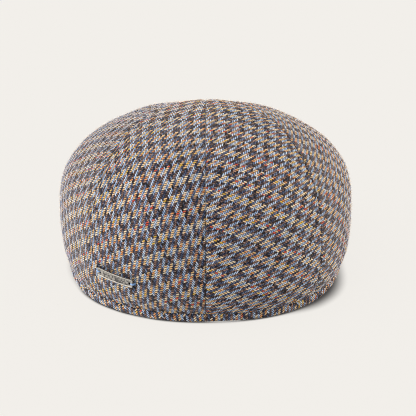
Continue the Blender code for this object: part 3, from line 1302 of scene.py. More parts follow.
@dataclass(frozen=True)
class Nap:
    """Short stray fibres that stand off the cloth, each a thin closed spike."""

    per_area: float = 0.22e6
    shortest: float = 0.0008
    longest: float = 0.0026
    edge_room: float = 0.02
    root_width: float = 0.00009
    least_lean: float = 30.0
    most_lean: float = 82.0
    candidates: int = 80000
    seed: int = 11

    def grow(self, patch: ClothPatch, bare: tuple[Vector, Vector] | None) -> tuple[Array, Array]:
        """Fibres at chance places of a patch that has been built.

        Args:
            patch: The patch.
            bare: The lowest and highest corners of a box that stays bare, if there is one.

        Returns:
            The fibres' points, four each, and their triangles.
        """
        luck = np.random.default_rng(self.seed + patch.number)
        s, t = luck.uniform(self.edge_room, 1.0 - self.edge_room, (2, self.candidates))
        along = (patch.surface.points(s + PROBE, t) - patch.surface.points(s - PROBE, t)) / (2 * PROBE)
        up = (patch.surface.points(s, t + PROBE) - patch.surface.points(s, t - PROBE)) / (2 * PROBE)
        size = np.linalg.norm(np.cross(along, up), axis=1)
        chosen = luck.choice(len(s), int(size.mean() * self.per_area), p=size / size.sum())
        s, t, along = s[chosen], t[chosen], unit(along[chosen])
        base, normal = patch.base(s, t)
        base = base + normal * (patch.form.undulation(base) - patch.weave.relief / 2)[:, None]
        if bare is not None:
            low, high = np.array(bare[0]), np.array(bare[1])
            kept = ~((base > low) & (base < high)).all(axis=1)
            base, normal, along = base[kept], normal[kept], along[kept]
        across = np.cross(normal, along)
        round_by = luck.uniform(0, 2 * np.pi, len(base))[:, None]
        lean = np.radians(luck.uniform(self.least_lean, self.most_lean, len(base)))[:, None]
        flat_way = along * np.cos(round_by) + across * np.sin(round_by)
        way = normal * np.cos(lean) + flat_way * np.sin(lean)
        tip = base + way * luck.uniform(self.shortest, self.longest, len(base))[:, None]
        above = (tip[:, 2] > 0.0) & (base[:, 2] > self.root_width)
        base, normal, way, tip = base[above], normal[above], way[above], tip[above]
        first = unit(np.cross(way, normal))
        second = np.cross(way, first)
        corners = [tip]
        for turn in np.radians((0.0, 120.0, 240.0)):
            corner = first * math.cos(turn) + second * math.sin(turn)
            corners.append(base + corner * self.root_width / 2)
        points = np.stack(corners, axis=1).reshape(-1, 3)
        faces = np.array([(0, 1, 2), (0, 2, 3), (0, 3, 1), (1, 3, 2)])
        triangles = (np.arange(len(base))[:, None, None] * 4 + faces[None]).reshape(-1, 3)
        return points, triangles

    def to_object(
        self,
        name: str,
        patch: ClothPatch,
        yarns: list[bpy.types.Material],
        bare: tuple[Vector, Vector] | None = None,
    ) -> bpy.types.Object:
        """A piece of fibres, each in one of several yarns' colours.

        Args:
            name: The piece's name.
            patch: The patch that they stand on.
            yarns: The materials, one for each colour.
            bare: The corners of a box that stays bare.

        Returns:
            The object, linked to the scene.
        """
        points, triangles = self.grow(patch, bare)
        mesh = filled_mesh(name, points, triangles.ravel(), np.arange(0, triangles.size, 3))
        for yarn in yarns:
            mesh.materials.append(yarn)
        colour = np.random.default_rng(self.seed).integers(0, len(yarns), len(triangles) // 4)
        mesh.polygons.foreach_set("material_index", np.repeat(colour, 4).astype(np.int32))
        thing = placed(name, mesh)
        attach(thing, "root")
        log.info("%s: %d triangles", name, len(triangles))
        return thing


class Graph:
    """A new material, and short ways to add nodes to it."""

    def __init__(self, name: str) -> None:
        """Makes the material.

        Args:
            name: The material's name.
        """
        self.material = bpy.data.materials.new(name)
        self.material.use_nodes = True
        self.tree = self.material.node_tree
        self.nodes = self.tree.nodes
        self.shader = self.nodes["Principled BSDF"].inputs

    def put(self, socket: Socket, value: object) -> None:
        """Links a socket to another, or sets what it holds.

        Args:
            socket: The socket.
            value: Another socket, a number, a vector or a colour.
        """
        if isinstance(value, Socket):
            self.tree.links.new(value, socket)
        elif socket.type == "RGBA" and isinstance(value, tuple):
            socket.default_value = (*value, 1.0)
        else:
            socket.default_value = value

    def read(self, name: str, output: str) -> Socket:
        """What the mesh carries under a name.

        Args:
            name: The attribute's name.
            output: Vector or Fac.

        Returns:
            The attribute's value.
        """
        node = self.nodes.new("ShaderNodeAttribute")
        node.attribute_name = name
        return node.outputs[output]

    def place(self) -> Socket:
        """The place in the scene, in metres."""
        return self.nodes.new("ShaderNodeNewGeometry").outputs["Position"]

    def math(self, operation: str, *values: object) -> Socket:
        """One step of arithmetic.

        Args:
            operation: What is worked out.
            values: What it is worked out from.

        Returns:
            The result.
        """
        node = self.nodes.new("ShaderNodeMath")
        node.operation = operation
        for socket, value in zip(node.inputs, values):
            self.put(socket, value)
        return node.outputs[0]

    def smooth(self, value: object, low: float, high: float) -> Socket:
        """A smooth step.

        Args:
            value: What it follows.
            low: Where it is 0.
            high: Where it is 1.

        Returns:
            The step.
        """
        node = self.nodes.new("ShaderNodeMapRange")
        node.interpolation_type = "SMOOTHSTEP"
        self.put(node.inputs["Value"], value)
        node.inputs["From Min"].default_value = low
        node.inputs["From Max"].default_value = high
        return node.outputs["Result"]

    def mix(self, factor: object, first: object, second: object) -> Socket:
        """A mix of two colours.

        Args:
            factor: 0 for the first alone, 1 for the second.
            first: The first colour.
            second: The second colour.

        Returns:
            The mixed colour.
        """
        node = self.nodes.new("ShaderNodeMix")
        node.data_type = "RGBA"
        sockets = [s for s in node.inputs if s.enabled]
        for socket, value in zip(sockets, (factor, first, second)):
            self.put(socket, value)
        return next(s for s in node.outputs if s.enabled)

    def split(self, vector: Socket) -> list[Socket]:
        """The three numbers of a vector.

        Args:
            vector: The vector.

        Returns:
            The numbers.
        """
        node = self.nodes.new("ShaderNodeSeparateXYZ")
        self.put(node.inputs[0], vector)
        return list(node.outputs)

    def vector(self, *numbers: object) -> Socket:
        """A vector.

        Args:
            numbers: Its three numbers.

        Returns:
            The vector.
        """
        node = self.nodes.new("ShaderNodeCombineXYZ")
        for socket, value in zip(node.inputs, numbers):
            self.put(socket, value)
        return node.outputs[0]

    def noise(self, vector: Socket, scale: float, detail: float = 2.0) -> Socket:
        """Smooth noise about 0.5.

        Args:
            vector: Where in the noise.
            scale: How many waves there are to a unit.
            detail: How many finer waves lie on them.

        Returns:
            The noise.
        """
        node = self.nodes.new("ShaderNodeTexNoise")
        self.put(node.inputs["Vector"], vector)
        node.inputs["Scale"].default_value = scale
        node.inputs["Detail"].default_value = detail
        return node.outputs["Fac"]

    def chance(self, *numbers: object) -> Socket:
        """A chance number that is always the same for the same numbers.

        Args:
            numbers: Three numbers.

        Returns:
            A number from 0 to 1.
        """
        node = self.nodes.new("ShaderNodeTexWhiteNoise")
        self.put(node.inputs["Vector"], self.vector(*numbers))
        return node.outputs["Value"]

    def bump(self, height: Socket, distance: float) -> None:
        """Roughens the shader's surface by a height.

        Args:
            height: The height, 0 to 1.
            distance: How high 1 is, in metres.
        """
        node = self.nodes.new("ShaderNodeBump")
        node.inputs["Distance"].default_value = distance
        self.put(node.inputs["Height"], height)
        self.put(self.shader["Normal"], node.outputs["Normal"])

    def ramp(self, factor: Socket, stops: Stops, steps: bool = False) -> Socket:
        """A colour ramp.

        Args:
            factor: Where on the ramp.
            stops: Pairs of position and colour.
            steps: Whether the colours change in steps.

        Returns:
            The colour.
        """
        node = self.nodes.new("ShaderNodeValToRGB")
        node.color_ramp.interpolation = "CONSTANT" if steps else "LINEAR"
        elements = node.color_ramp.elements
        while len(elements) < len(stops):
            elements.new(1.0)
        for element, (position, colour) in zip(elements, stops):
            element.position = position
            element.color = (*colour, 1.0)
        self.put(node.inputs["Fac"], factor)
        return node.outputs["Color"]


@dataclass(frozen=True)
class FibreFinish:
    """The stray fibres of the cloth: mostly undyed beige, with some blue and some tan."""

    colours: tuple[Colour, ...] = (
        linear(232, 212, 190),
        linear(226, 200, 174),
        linear(196, 204, 222),
        linear(214, 176, 136),
        linear(236, 224, 210),
    )
    roughness: float = 0.9
    gloss: float = 0.2

    def materials(self) -> list[bpy.types.Material]:
        """One material for each colour.

        Returns:
            The materials.
        """
        made = []
        for number, colour in enumerate(self.colours, 1):
            graph = Graph(f"wool_fibre_{number}")
            graph.put(graph.shader["Base Color"], colour)
            graph.put(graph.shader["Roughness"], self.roughness)
            graph.put(graph.shader["Specular IOR Level"], self.gloss)
            made.append(graph.material)
        return made


class Spot(NamedTuple):
    """A spot in the weave: its coordinates, its two threads, its patch and whether the warp is on top."""

    u: Socket
    v: Socket
    warp: Socket
    weft: Socket
    patch: Socket
    warp_on: Socket


@dataclass(frozen=True)
class WoolFinish:
    """Four light and four dark threads each way, which make a small houndstooth."""

    white_blue: Colour = linear(210, 221, 237)
    pale_blue: Colour = linear(190, 210, 238)
    sky_blue: Colour = linear(146, 176, 220)
    navy: Colour = linear(9, 13, 27)
    navy_mid: Colour = linear(60, 75, 110)
    navy_pale: Colour = linear(118, 136, 170)
    cream: Colour = linear(238, 218, 188)
    tan: Colour = linear(240, 196, 140)
    orange: Colour = linear(230, 152, 92)
    red: Colour = linear(216, 84, 64)
    yellow: Colour = linear(236, 190, 76)
    brown: Colour = linear(34, 25, 29)
    brown_mid: Colour = linear(104, 81, 78)
    brown_pale: Colour = linear(172, 134, 118)
    # Near-black for the painted shade of threads and of the crease, and for floats dimmed at random.
    gap: Colour = linear(8, 7, 8)
    # Pale colour of stray hairs, and of the sheen painted on the side panels.
    fuzz_and_painted_sheen: Colour = linear(222, 206, 188)
    light_warp: Stops = ((0.42, white_blue), (0.56, pale_blue), (0.74, sky_blue))
    dark_warp: Stops = ((0.46, navy_pale), (0.62, navy_mid), (0.80, navy))
    light_weft: Stops = (
        (0.0, tan),
        (0.34, cream),
        (0.52, orange),
        (0.72, tan),
        (0.84, red),
        (0.92, yellow),
    )
    dark_weft: Stops = ((0.47, brown_pale), (0.64, brown_mid), (0.84, brown))
    bleached: tuple[float, float] = (0.62, 0.46)
    band: float = 4.0
    warp_spread: float = 7.31
    weft_spread: float = 5.17
    colour_drift: float = 0.45
    luck_drift: float = 0.24
    same_colour: float = 13.0
    hair_spread: float = 3.1
    # A faint veil of stray hairs over all the cloth, and a stronger one on the side panels that is painted
    # sheen.
    haze_share: float = 0.012
    side_painted_sheen: float = 0.035
    side_patches: tuple[float, float] = (2.5, 0.6)
    # Painted shade of round threads: darker past crest_share towards their sides, and past end_share where
    # a float dives.
    crest_share: float = 0.14
    side_share: float = 0.47
    painted_side_shade: float = 0.94
    end_share: float = 0.60
    painted_end_shade: float = 0.42
    float_shade: float = 0.32
    # How dark the painted shade along the crease by the plate is.
    painted_crease_strength: float = 0.95
    roughness: float = 0.92
    gloss: float = 0.15
    sheen: float = 0.10
    sheen_roughness: float = 0.30
    sheen_tint: Colour = (1.0, 0.88, 0.72)
    ply_slant: float = 1.3
    ply_turns: float = 12.0
    bump: float = 0.00008

    def material(self, name: str) -> bpy.types.Material:
        """The woven material, which reads its threads from the mesh.

        Args:
            name: The material's name.

        Returns:
            The material.
        """
        graph = Graph(name)
        u, v, patch = graph.split(graph.read("weave", "Vector"))
        warp, weft = graph.math("FLOOR", u), graph.math("FLOOR", v)
        lead = graph.math("SUBTRACT", warp, weft)
        warp_on = graph.math("LESS_THAN", graph.math("FLOORED_MODULO", lead, 4.0), 1.5)
        at = Spot(u, v, warp, weft, patch, warp_on)
        warp_float = graph.math("FLOOR", graph.math("DIVIDE", graph.math("SUBTRACT", 2.0, lead), 4.0))
        weft_float = graph.math("FLOOR", graph.math("DIVIDE", lead, 4.0))
        warp_luck = graph.chance(warp, warp_float, patch)
        weft_luck = graph.chance(weft, weft_float, graph.math("ADD", patch, 20.0))
        colour = graph.mix(warp_on, self._weft(graph, at, weft_luck), self._warp(graph, at, warp_luck))
        luck = graph.mix(warp_on, weft_luck, warp_luck)
        dim = graph.math("MULTIPLY", graph.math("POWER", luck, 2.0), self.float_shade)
        colour = graph.mix(dim, colour, self.gap)
        # Painted shade: each thread darkens towards its sides and where its float dives.
        colour = graph.mix(self._painted_shade(graph, at), colour, self.gap)
        # A pale veil of stray hairs over all the cloth, stronger on the side panels as painted sheen of
        # fuzz seen edge-on.
        spread = [graph.math("MULTIPLY", place, self.hair_spread) for place in (u, v)]
        hair_and_painted_sheen = graph.noise(graph.vector(*spread, patch), 1.0)
        on_side = graph.math("COMPARE", patch, *self.side_patches)
        share = graph.math("MULTIPLY_ADD", on_side, self.side_painted_sheen, self.haze_share)
        hair_and_painted_sheen = graph.math("MULTIPLY", hair_and_painted_sheen, graph.math("MULTIPLY", share, 2.0))
        colour = graph.mix(hair_and_painted_sheen, colour, self.fuzz_and_painted_sheen)
        # Painted shade: the cloth darkens along the crease by the plate and under its holes.
        painted_crease_shade = graph.math("MULTIPLY", graph.read("painted_crease_shade", "Fac"), self.painted_crease_strength)
        graph.put(graph.shader["Base Color"], graph.mix(painted_crease_shade, colour, self.gap))
        graph.put(graph.shader["Roughness"], self.roughness)
        graph.put(graph.shader["Specular IOR Level"], self.gloss)
        graph.put(graph.shader["Sheen Weight"], self.sheen)
        graph.put(graph.shader["Sheen Roughness"], self.sheen_roughness)
        graph.put(graph.shader["Sheen Tint"], self.sheen_tint)
        plies = [self._plies(graph, v, u), self._plies(graph, u, v)]
        graph.bump(graph.mix(warp_on, *plies), self.bump)
        return graph.material

    def _drift(self, graph: Graph, apart: Socket, along: Socket, patch: Socket, luck: Socket) -> Socket:
        """How a thread's colour drifts along it.

        Args:
            graph: The material's graph.
            apart: Where the thread lies in the noise.
            along: The place along it.
            patch: The patch's number.
            luck: A chance number of the float's own.

        Returns:
            The place on a ramp of colours.
        """
        place = graph.vector(apart, graph.math("MULTIPLY", along, self.colour_drift), patch)
        return graph.math("ADD", graph.noise(place, 1.0), graph.math("MULTIPLY", luck, self.luck_drift))

    def _banded(self, graph: Graph, thread: Socket, light: Socket, dark: Socket) -> Socket:
        """The light colour on one band of threads and the dark one on the next."""
        group = graph.math("FLOORED_MODULO", thread, 2 * self.band)
        return graph.mix(graph.math("LESS_THAN", group, self.band - 0.5), dark, light)

    def _warp(self, graph: Graph, at: Spot, luck: Socket) -> Socket:
        """The colour of the warp: four pale blue threads, then four navy ones.

        Args:
            graph: The material's graph.
            at: The spot in the weave.
            luck: A chance number of the float's own.

        Returns:
            The colour.
        """
        apart = graph.math("MULTIPLY", at.warp, self.warp_spread)
        drift = self._drift(graph, apart, at.v, at.patch, luck)
        light, dark = graph.ramp(drift, self.light_warp), graph.ramp(drift, self.dark_warp)
        return self._banded(graph, at.warp, light, dark)

    def _weft(self, graph: Graph, at: Spot, luck: Socket) -> Socket:
        """The colour of the weft: four light threads of several colours, then four brown ones.

        Args:
            graph: The material's graph.
            at: The spot in the weave.
            luck: A chance number of the float's own.

        Returns:
            The colour.
        """
        apart = graph.math("MULTIPLY", at.weft, self.weft_spread)
        drift = self._drift(graph, apart, at.u, at.patch, luck)
        start = graph.math("MULTIPLY", graph.chance(at.weft, at.patch, 5.0), 3.0)
        stretch = graph.math("FLOOR", graph.math("MULTIPLY_ADD", at.u, 1.0 / self.same_colour, start))
        thread = graph.chance(at.weft, stretch, graph.math("ADD", at.patch, 40.0))
        light = graph.ramp(thread, self.light_weft, steps=True)
        light = graph.mix(graph.smooth(drift, *self.bleached), light, self.cream)
        return self._banded(graph, at.weft, light, graph.ramp(drift, self.dark_weft))

    def _painted_shade(self, graph: Graph, at: Spot) -> Socket:
        """Painted shade of a spot: threads darken towards their sides and where a float dives.

        Args:
            graph: The material's graph.
            at: The spot in the weave.

        Returns:
            The share of painted shade.
        """
        sides = []
        for place in (at.u, at.v):
            sides.append(graph.math("ABSOLUTE", graph.math("SUBTRACT", graph.math("FRACT", place), 0.5)))
        across = graph.mix(at.warp_on, sides[1], sides[0])
        ends = []
        for place, thread, shift in ((at.v, at.warp, 2.0), (at.u, at.weft, -1.0)):
            along = graph.math("ADD", graph.math("SUBTRACT", place, thread), shift)
            along = graph.math("SUBTRACT", graph.math("FLOORED_MODULO", along, 4.0), 2.0)
            ends.append(graph.math("ABSOLUTE", along))
        along = graph.mix(at.warp_on, ends[1], ends[0])
        side = graph.smooth(across, self.crest_share, self.side_share)
        end = graph.smooth(along, self.end_share, 1.0)
        side = graph.math("MULTIPLY", side, self.painted_side_shade)
        return graph.math("MAXIMUM", side, graph.math("MULTIPLY", end, self.painted_end_shade))

    def _plies(self, graph: Graph, across: Socket, along: Socket) -> Socket:
        """The slanting plies of the yarn, as waves."""
        slanting = graph.math("ADD", graph.math("MULTIPLY", across, self.ply_slant), along)
        return graph.math("SINE", graph.math("MULTIPLY", slanting, self.ply_turns))


@dataclass(frozen=True)
class AntiqueSilver:
    """Antique silver: a light, worn rim round a dark, mottled field."""

    rim: Colour = linear(172, 168, 162)
    field_light: Colour = linear(164, 160, 154)
    field_dark: Colour = linear(76, 74, 74)
    mottle_scale: float = 700.0
    fine_scale: float = 2170.0
    stained: tuple[float, float] = (0.55, 0.85)
    worn: tuple[float, float] = (0.25, 0.85)
    roughness: float = 0.32
    roughness_spread: float = 0.25
    metallic: float = 0.75
    pits: float = 0.00004

    def material(self, name: str) -> bpy.types.Material:
        """The metal, darker where it lies low.

        Args:
            name: The material's name.

        Returns:
            The material.
        """
        graph = Graph(name)
        broad = graph.noise(graph.place(), self.mottle_scale, 3.0)
        fine = graph.noise(graph.place(), self.fine_scale)
        stain = graph.smooth(graph.math("MULTIPLY_ADD", fine, 0.4, broad), *self.stained)
        low = graph.mix(stain, self.field_dark, self.field_light)
        worn = graph.smooth(graph.read("raised", "Fac"), *self.worn)
        worn = graph.math("MULTIPLY", worn, graph.math("MULTIPLY_ADD", fine, 0.35, 0.75))
        rough = graph.math("MULTIPLY_ADD", fine, self.roughness_spread, self.roughness)
        graph.put(graph.shader["Base Color"], graph.mix(worn, low, self.rim))
        graph.put(graph.shader["Metallic"], self.metallic)
        graph.put(graph.shader["Roughness"], rough)
        graph.bump(broad, self.pits)
        return graph.material


@dataclass(frozen=True)
class SewingThread:
    """Pale blue sewing thread, two plies twisted together."""

    light: Colour = linear(160, 196, 236)
    dark: Colour = linear(92, 132, 196)
    ply_scale: float = 2600.0
    roughness: float = 0.7

    def material(self, name: str) -> bpy.types.Material:
        """The thread, banded by its twist.

        Args:
            name: The material's name.

        Returns:
            The material.
        """
        graph = Graph(name)
        plies = graph.noise(graph.place(), self.ply_scale, 1.0)
        graph.put(graph.shader["Base Color"], graph.mix(plies, self.dark, self.light))
        graph.put(graph.shader["Roughness"], self.roughness)
        return graph.material


class Lamp(NamedTuple):
    """A wide soft light: its strength, the way towards it and its colour."""

    energy: float
    towards: tuple[float, float, float]
    colour: Colour = (1.0, 1.0, 1.0)


@dataclass
class Studio:
    """A pale seamless floor, soft light from above and both sides, and the camera behind the cap."""

    form: CapForm
    floor_colour: Colour = linear(242, 239, 234)
    floor_glow: float = 0.93
    # The cap's shadow is painted into the floor's glow: contact shade from ambient occlusion, and a cast
    # shadow to the right of the hem.
    contact_reach: float = 0.005
    shadow_colour: Colour = linear(66, 64, 64)
    shadow_width: float = 0.10
    shadow_start: tuple[float, float] = (22.0, 50.0)
    shadow_end: tuple[float, float] = (90.0, 54.0)
    shadow_fade: tuple[float, float] = (0.91, 1.04)
    contact_fade: tuple[float, float] = (0.25, 0.70)
    contact_samples: int = 32
    floor_size: float = 12.0
    dome: float = 0.45
    lamp_angle: float = 60.0
    key: Lamp = Lamp(1.96, (-0.76, -0.62, 0.52))
    left_fill: Lamp = Lamp(3.00, (-1.00, 0.05, 0.38), (1.00, 0.94, 0.84))
    right_fill: Lamp = Lamp(4.40, (1.00, 0.26, 0.35), (1.00, 0.94, 0.84))
    floor_key: Lamp = Lamp(0.35, (-0.55, -0.30, 0.80))
    elevation: float = 20.0
    distance: float = 1.4
    lens: float = 183.1
    sensor: float = 36.0
    aim_height: float = 0.055
    aim_right: float = 0.00146
    aim_down: float = 0.0156
    pixel_filter: float = 1.0

    def build(self) -> None:
        """Adds the floor and the camera, and sets how the picture is developed."""
        self.floor = self._floor()
        self._camera()
        scene = bpy.context.scene
        scene.view_settings.view_transform = "Standard"
        scene.cycles.filter_width = self.pixel_filter
        scene.cycles.denoising_prefilter = "NONE"

    def _floor(self) -> bpy.types.Object:
        """The floor, in the background's own colour: partly lit, partly glowing like a light table, with
        the cap's shadow painted into the glow.

        Returns:
            The floor.
        """
        half = self.floor_size / 2
        corners = [(-half, -half, 0.0), (half, -half, 0.0), (half, half, 0.0), (-half, half, 0.0)]
        mesh = bpy.data.meshes.new("studio_floor")
        mesh.from_pydata(corners, [], [(0, 1, 2, 3)])
        graph = Graph("studio_floor")
        lit = self.dome + self.floor_key.energy * unit(np.array(self.floor_key.towards))[2] / math.pi
        base = tuple(c * (1.0 - self.floor_glow) / lit for c in self.floor_colour)
        glow = tuple(c * self.floor_glow for c in self.floor_colour)
        graph.put(graph.shader["Base Color"], base)
        graph.put(graph.shader["Roughness"], 1.0)
        graph.put(graph.shader["Specular IOR Level"], 0.0)
        # The glow carries the painted shadow of the cap.
        glow_and_painted_shadow = graph.mix(self._open_share(graph), self.shadow_colour, glow)
        graph.put(graph.shader["Emission Color"], glow_and_painted_shadow)
        graph.put(graph.shader["Emission Strength"], 1.0)
        mesh.materials.append(graph.material)
        floor = placed("studio_floor", mesh)
        return floor

    def _open_share(self, graph: Graph) -> Socket:
        """How far the floor lies out of the shadow painted round the cap, which falls to the right of its
        hem and along its contact.

        Args:
            graph: The floor material's graph.

        Returns:
            0 in full painted shadow, 1 outside it.
        """
        contact = graph.nodes.new("ShaderNodeAmbientOcclusion")
        contact.inputs["Distance"].default_value = self.contact_reach
        contact.samples = self.contact_samples
        x, y, _ = graph.split(graph.place())
        aside = graph.math("DIVIDE", x, self.form.half_width)
        behind = graph.math("SUBTRACT", self.form.middle_y, y)
        behind = graph.math("DIVIDE", behind, self.form.half_length)
        squares = graph.math("ADD", graph.math("POWER", aside, 2.0), graph.math("POWER", behind, 2.0))
        turn = graph.math("ARCTAN2", aside, behind)
        starts = graph.smooth(turn, *(math.radians(a) for a in self.shadow_start))
        ends = graph.smooth(turn, *(math.radians(a) for a in self.shadow_end))
        thrown = graph.math("MULTIPLY", graph.math("MULTIPLY", starts, ends), self.shadow_width)
        cast = graph.smooth(graph.math("SUBTRACT", graph.math("SQRT", squares), thrown), *self.shadow_fade)
        return graph.math("MULTIPLY", cast, graph.smooth(contact.outputs["AO"], *self.contact_fade))

    def _sun(self, name: str, lamp: Lamp, lit: list[bpy.types.Object]) -> None:
        """Adds one lamp that lights some of the objects alone.

        Args:
            name: The light's name.
            lamp: What it is like.
            lit: What it lights.
        """
        sun = bpy.data.lights.new(name, "SUN")
        sun.energy = lamp.energy
        sun.color = lamp.colour
        sun.angle = math.radians(self.lamp_angle)
        light = placed(name, sun)
        light.rotation_mode = "QUATERNION"
        light.rotation_quaternion = Vector(lamp.towards).to_track_quat("Z", "Y")
        receivers = bpy.data.collections.new(f"{name}_receivers")
        for thing in lit:
            receivers.objects.link(thing)
        light.light_linking.receiver_collection = receivers

    def light(self, pieces: list[bpy.types.Object]) -> None:
        """Adds an even dome and the lamps.

        Args:
            pieces: The cap's pieces.
        """
        world = bpy.data.worlds.new("studio")
        world.use_nodes = True
        sky = world.node_tree.nodes["Background"]
        sky.inputs["Color"].default_value = (1.0, 1.0, 1.0, 1.0)
        sky.inputs["Strength"].default_value = self.dome
        bpy.context.scene.world = world
        self._sun("key", self.key, pieces)
        self._sun("left_fill", self.left_fill, pieces)
        self._sun("right_fill", self.right_fill, pieces)
        self._sun("floor_key", self.floor_key, [self.floor])

    def _camera(self) -> None:
        """The camera, straight behind the cap and a little above it."""
        rise = math.radians(self.elevation)
        away = Vector((0.0, -math.cos(rise), math.sin(rise)))
        up = Vector((0.0, math.sin(rise), math.cos(rise)))
        target = Vector((0.0, self.form.middle_y, self.aim_height))
        place = target + away * self.distance
        aim = target + Vector((self.aim_right, 0.0, 0.0)) - up * self.aim_down
        camera = placed("camera", bpy.data.cameras.new("camera"))
        camera.data.lens = self.lens
        camera.data.sensor_width = self.sensor
        camera.location = place
        camera.rotation_mode = "QUATERNION"
        camera.rotation_quaternion = (aim - place).to_track_quat("-Z", "Y")
        bpy.context.scene.camera = camera


@dataclass
class Crown:
    """The six panels of the crown."""

    form: CapForm
    finish: bpy.types.Material
    fibres: list[bpy.types.Material]
    nap: Nap = Nap()
    side_nap: Nap = Nap(per_area=0.55e6)
    crease: Crease | None = None
    plate_margin: tuple[float, float, float] = (0.0010, 0.0030, 0.0010)
    seam_lip: Lip = Lip(roll=0.0010, drop=0.0012, dip=0.0004, dip_width=0.004)
    foot_lip: Lip = Lip(roll=0.0006, drop=0.0004)
    seam_gap: float = 0.0001
    drawn_up: float = 0.54
    centre_back: Seam = Seam(0.0, 0.0)
    side_back: Seam = Seam(48.0, 55.0)
    side_front: Seam = Seam(109.0, 109.0)
    centre_front: Seam = Seam(180.0, 180.0)

    def build(self) -> list[bpy.types.Object]:
        """Builds and dresses the panels.

        Returns:
            The panels' cloth and nap.
        """
        grains = {
            (Gore.BACK, Side.LEFT): Grain(33.0, 115.5),
            (Gore.BACK, Side.RIGHT): Grain(-33.0, 64.5),
            (Gore.SIDE, Side.LEFT): Grain(20.0, 110.0),
            (Gore.SIDE, Side.RIGHT): Grain(-28.0, 62.0),
            (Gore.FRONT, Side.LEFT): Grain(10.0, 100.0),
            (Gore.FRONT, Side.RIGHT): Grain(-10.0, 80.0),
        }
        seams = {
            Gore.BACK: (self.centre_back, self.side_back),
            Gore.SIDE: (self.side_back, self.side_front),
            Gore.FRONT: (self.side_front, self.centre_front),
        }
        built = []
        for number, ((gore, side), grain) in enumerate(grains.items()):
            name = f"{gore.value}_{side.name.lower()}"
            patch = ClothPatch(
                PanelSurface(self.form, side, *seams[gore]),
                grain,
                number,
                self.form,
                lips=(self.foot_lip, self.seam_lip, Lip(), self.seam_lip),
                gap=self.seam_gap,
                drawn_up=self.drawn_up if gore is Gore.BACK else 0.0,
                crease=self.crease if name == "back_panel_left" else None,
            )
            parts = patch.parts()
            thing = parts.to_object(f"{name}_cloth")
            # Stored for the wool material, which paints shade along the crease and under the plate's holes.
            if patch.crease is not None:
                painted_crease_shade = thing.data.attributes.new("painted_crease_shade", "FLOAT", "POINT")
                painted_crease_shade.data.foreach_set("value", patch.crease.share(parts.places).astype(np.float32))
            dress(thing, self.finish, "wool", name)
            nap = self.side_nap if gore is Gore.SIDE else self.nap
            built += [thing, nap.to_object(f"{name}_nap", patch, self.fibres, self._plate_room())]
        return built

    def _plate_room(self) -> tuple[Vector, Vector]:
        """The corners of the box round the plate, where no fibres stand."""
        low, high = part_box("badge_plate")
        return low - Vector(self.plate_margin), high + Vector(self.plate_margin)


@dataclass
class Hem:
    """The turned hem band."""

    form: CapForm
    finish: bpy.types.Material
    fibres: list[bpy.types.Material]
    nap: Nap = Nap(longest=0.0014)
    thickness: float = 0.0008
    top_lip: Lip = Lip(roll=0.0007, drop=0.0006)

    def build(self) -> list[bpy.types.Object]:
        """Builds and dresses the band.

        Returns:
            Its cloth and nap.
        """
        patch = ClothPatch(
            HemSurface(self.form),
            Grain(45.0, 135.0),
            6,
            self.form,
            lips=(Lip(), Lip(), self.top_lip, Lip()),
            thickness=self.thickness,
            columns=97,
            rows=9,
            inner_cell=0.0030,
            rim_samples=160,
        )
        thing = patch.parts().to_object("hem_band_cloth")
        dress(thing, self.finish, "wool", "hem_band")
        return [thing, self.nap.to_object("hem_band_nap", patch, self.fibres)]


@dataclass
class Peak:
    """The peak, covered above and below."""

    form: CapForm
    finish: bpy.types.Material
    fibres: list[bpy.types.Material]
    nap: Nap = Nap()
    thickness: float = 0.0010
    edge_lip: Lip = Lip(roll=0.0006, drop=0.0003)

    def build(self) -> list[bpy.types.Object]:
        """Builds and dresses both covers as one piece.

        Returns:
            Its cloth and nap.
        """
        above, under = (
            ClothPatch(
                PeakSurface(self.form, upper),
                Grain(0.0, 90.0),
                number,
                self.form,
                lips=lips,
                thickness=self.thickness,
                columns=41,
                rows=17,
                rim_samples=80,
            )
            for number, upper, lips in (
                (7, True, (self.edge_lip, Lip(), Lip(), Lip())),
                (8, False, (Lip(), Lip(), self.edge_lip, Lip())),
            )
        )
        parts = above.parts().joined(under.parts())
        nap = self.nap.to_object("peak_nap", above, self.fibres)
        thing = parts.to_object("peak_cloth")
        dress(thing, self.finish, "wool", "peak")
        return [thing, nap]


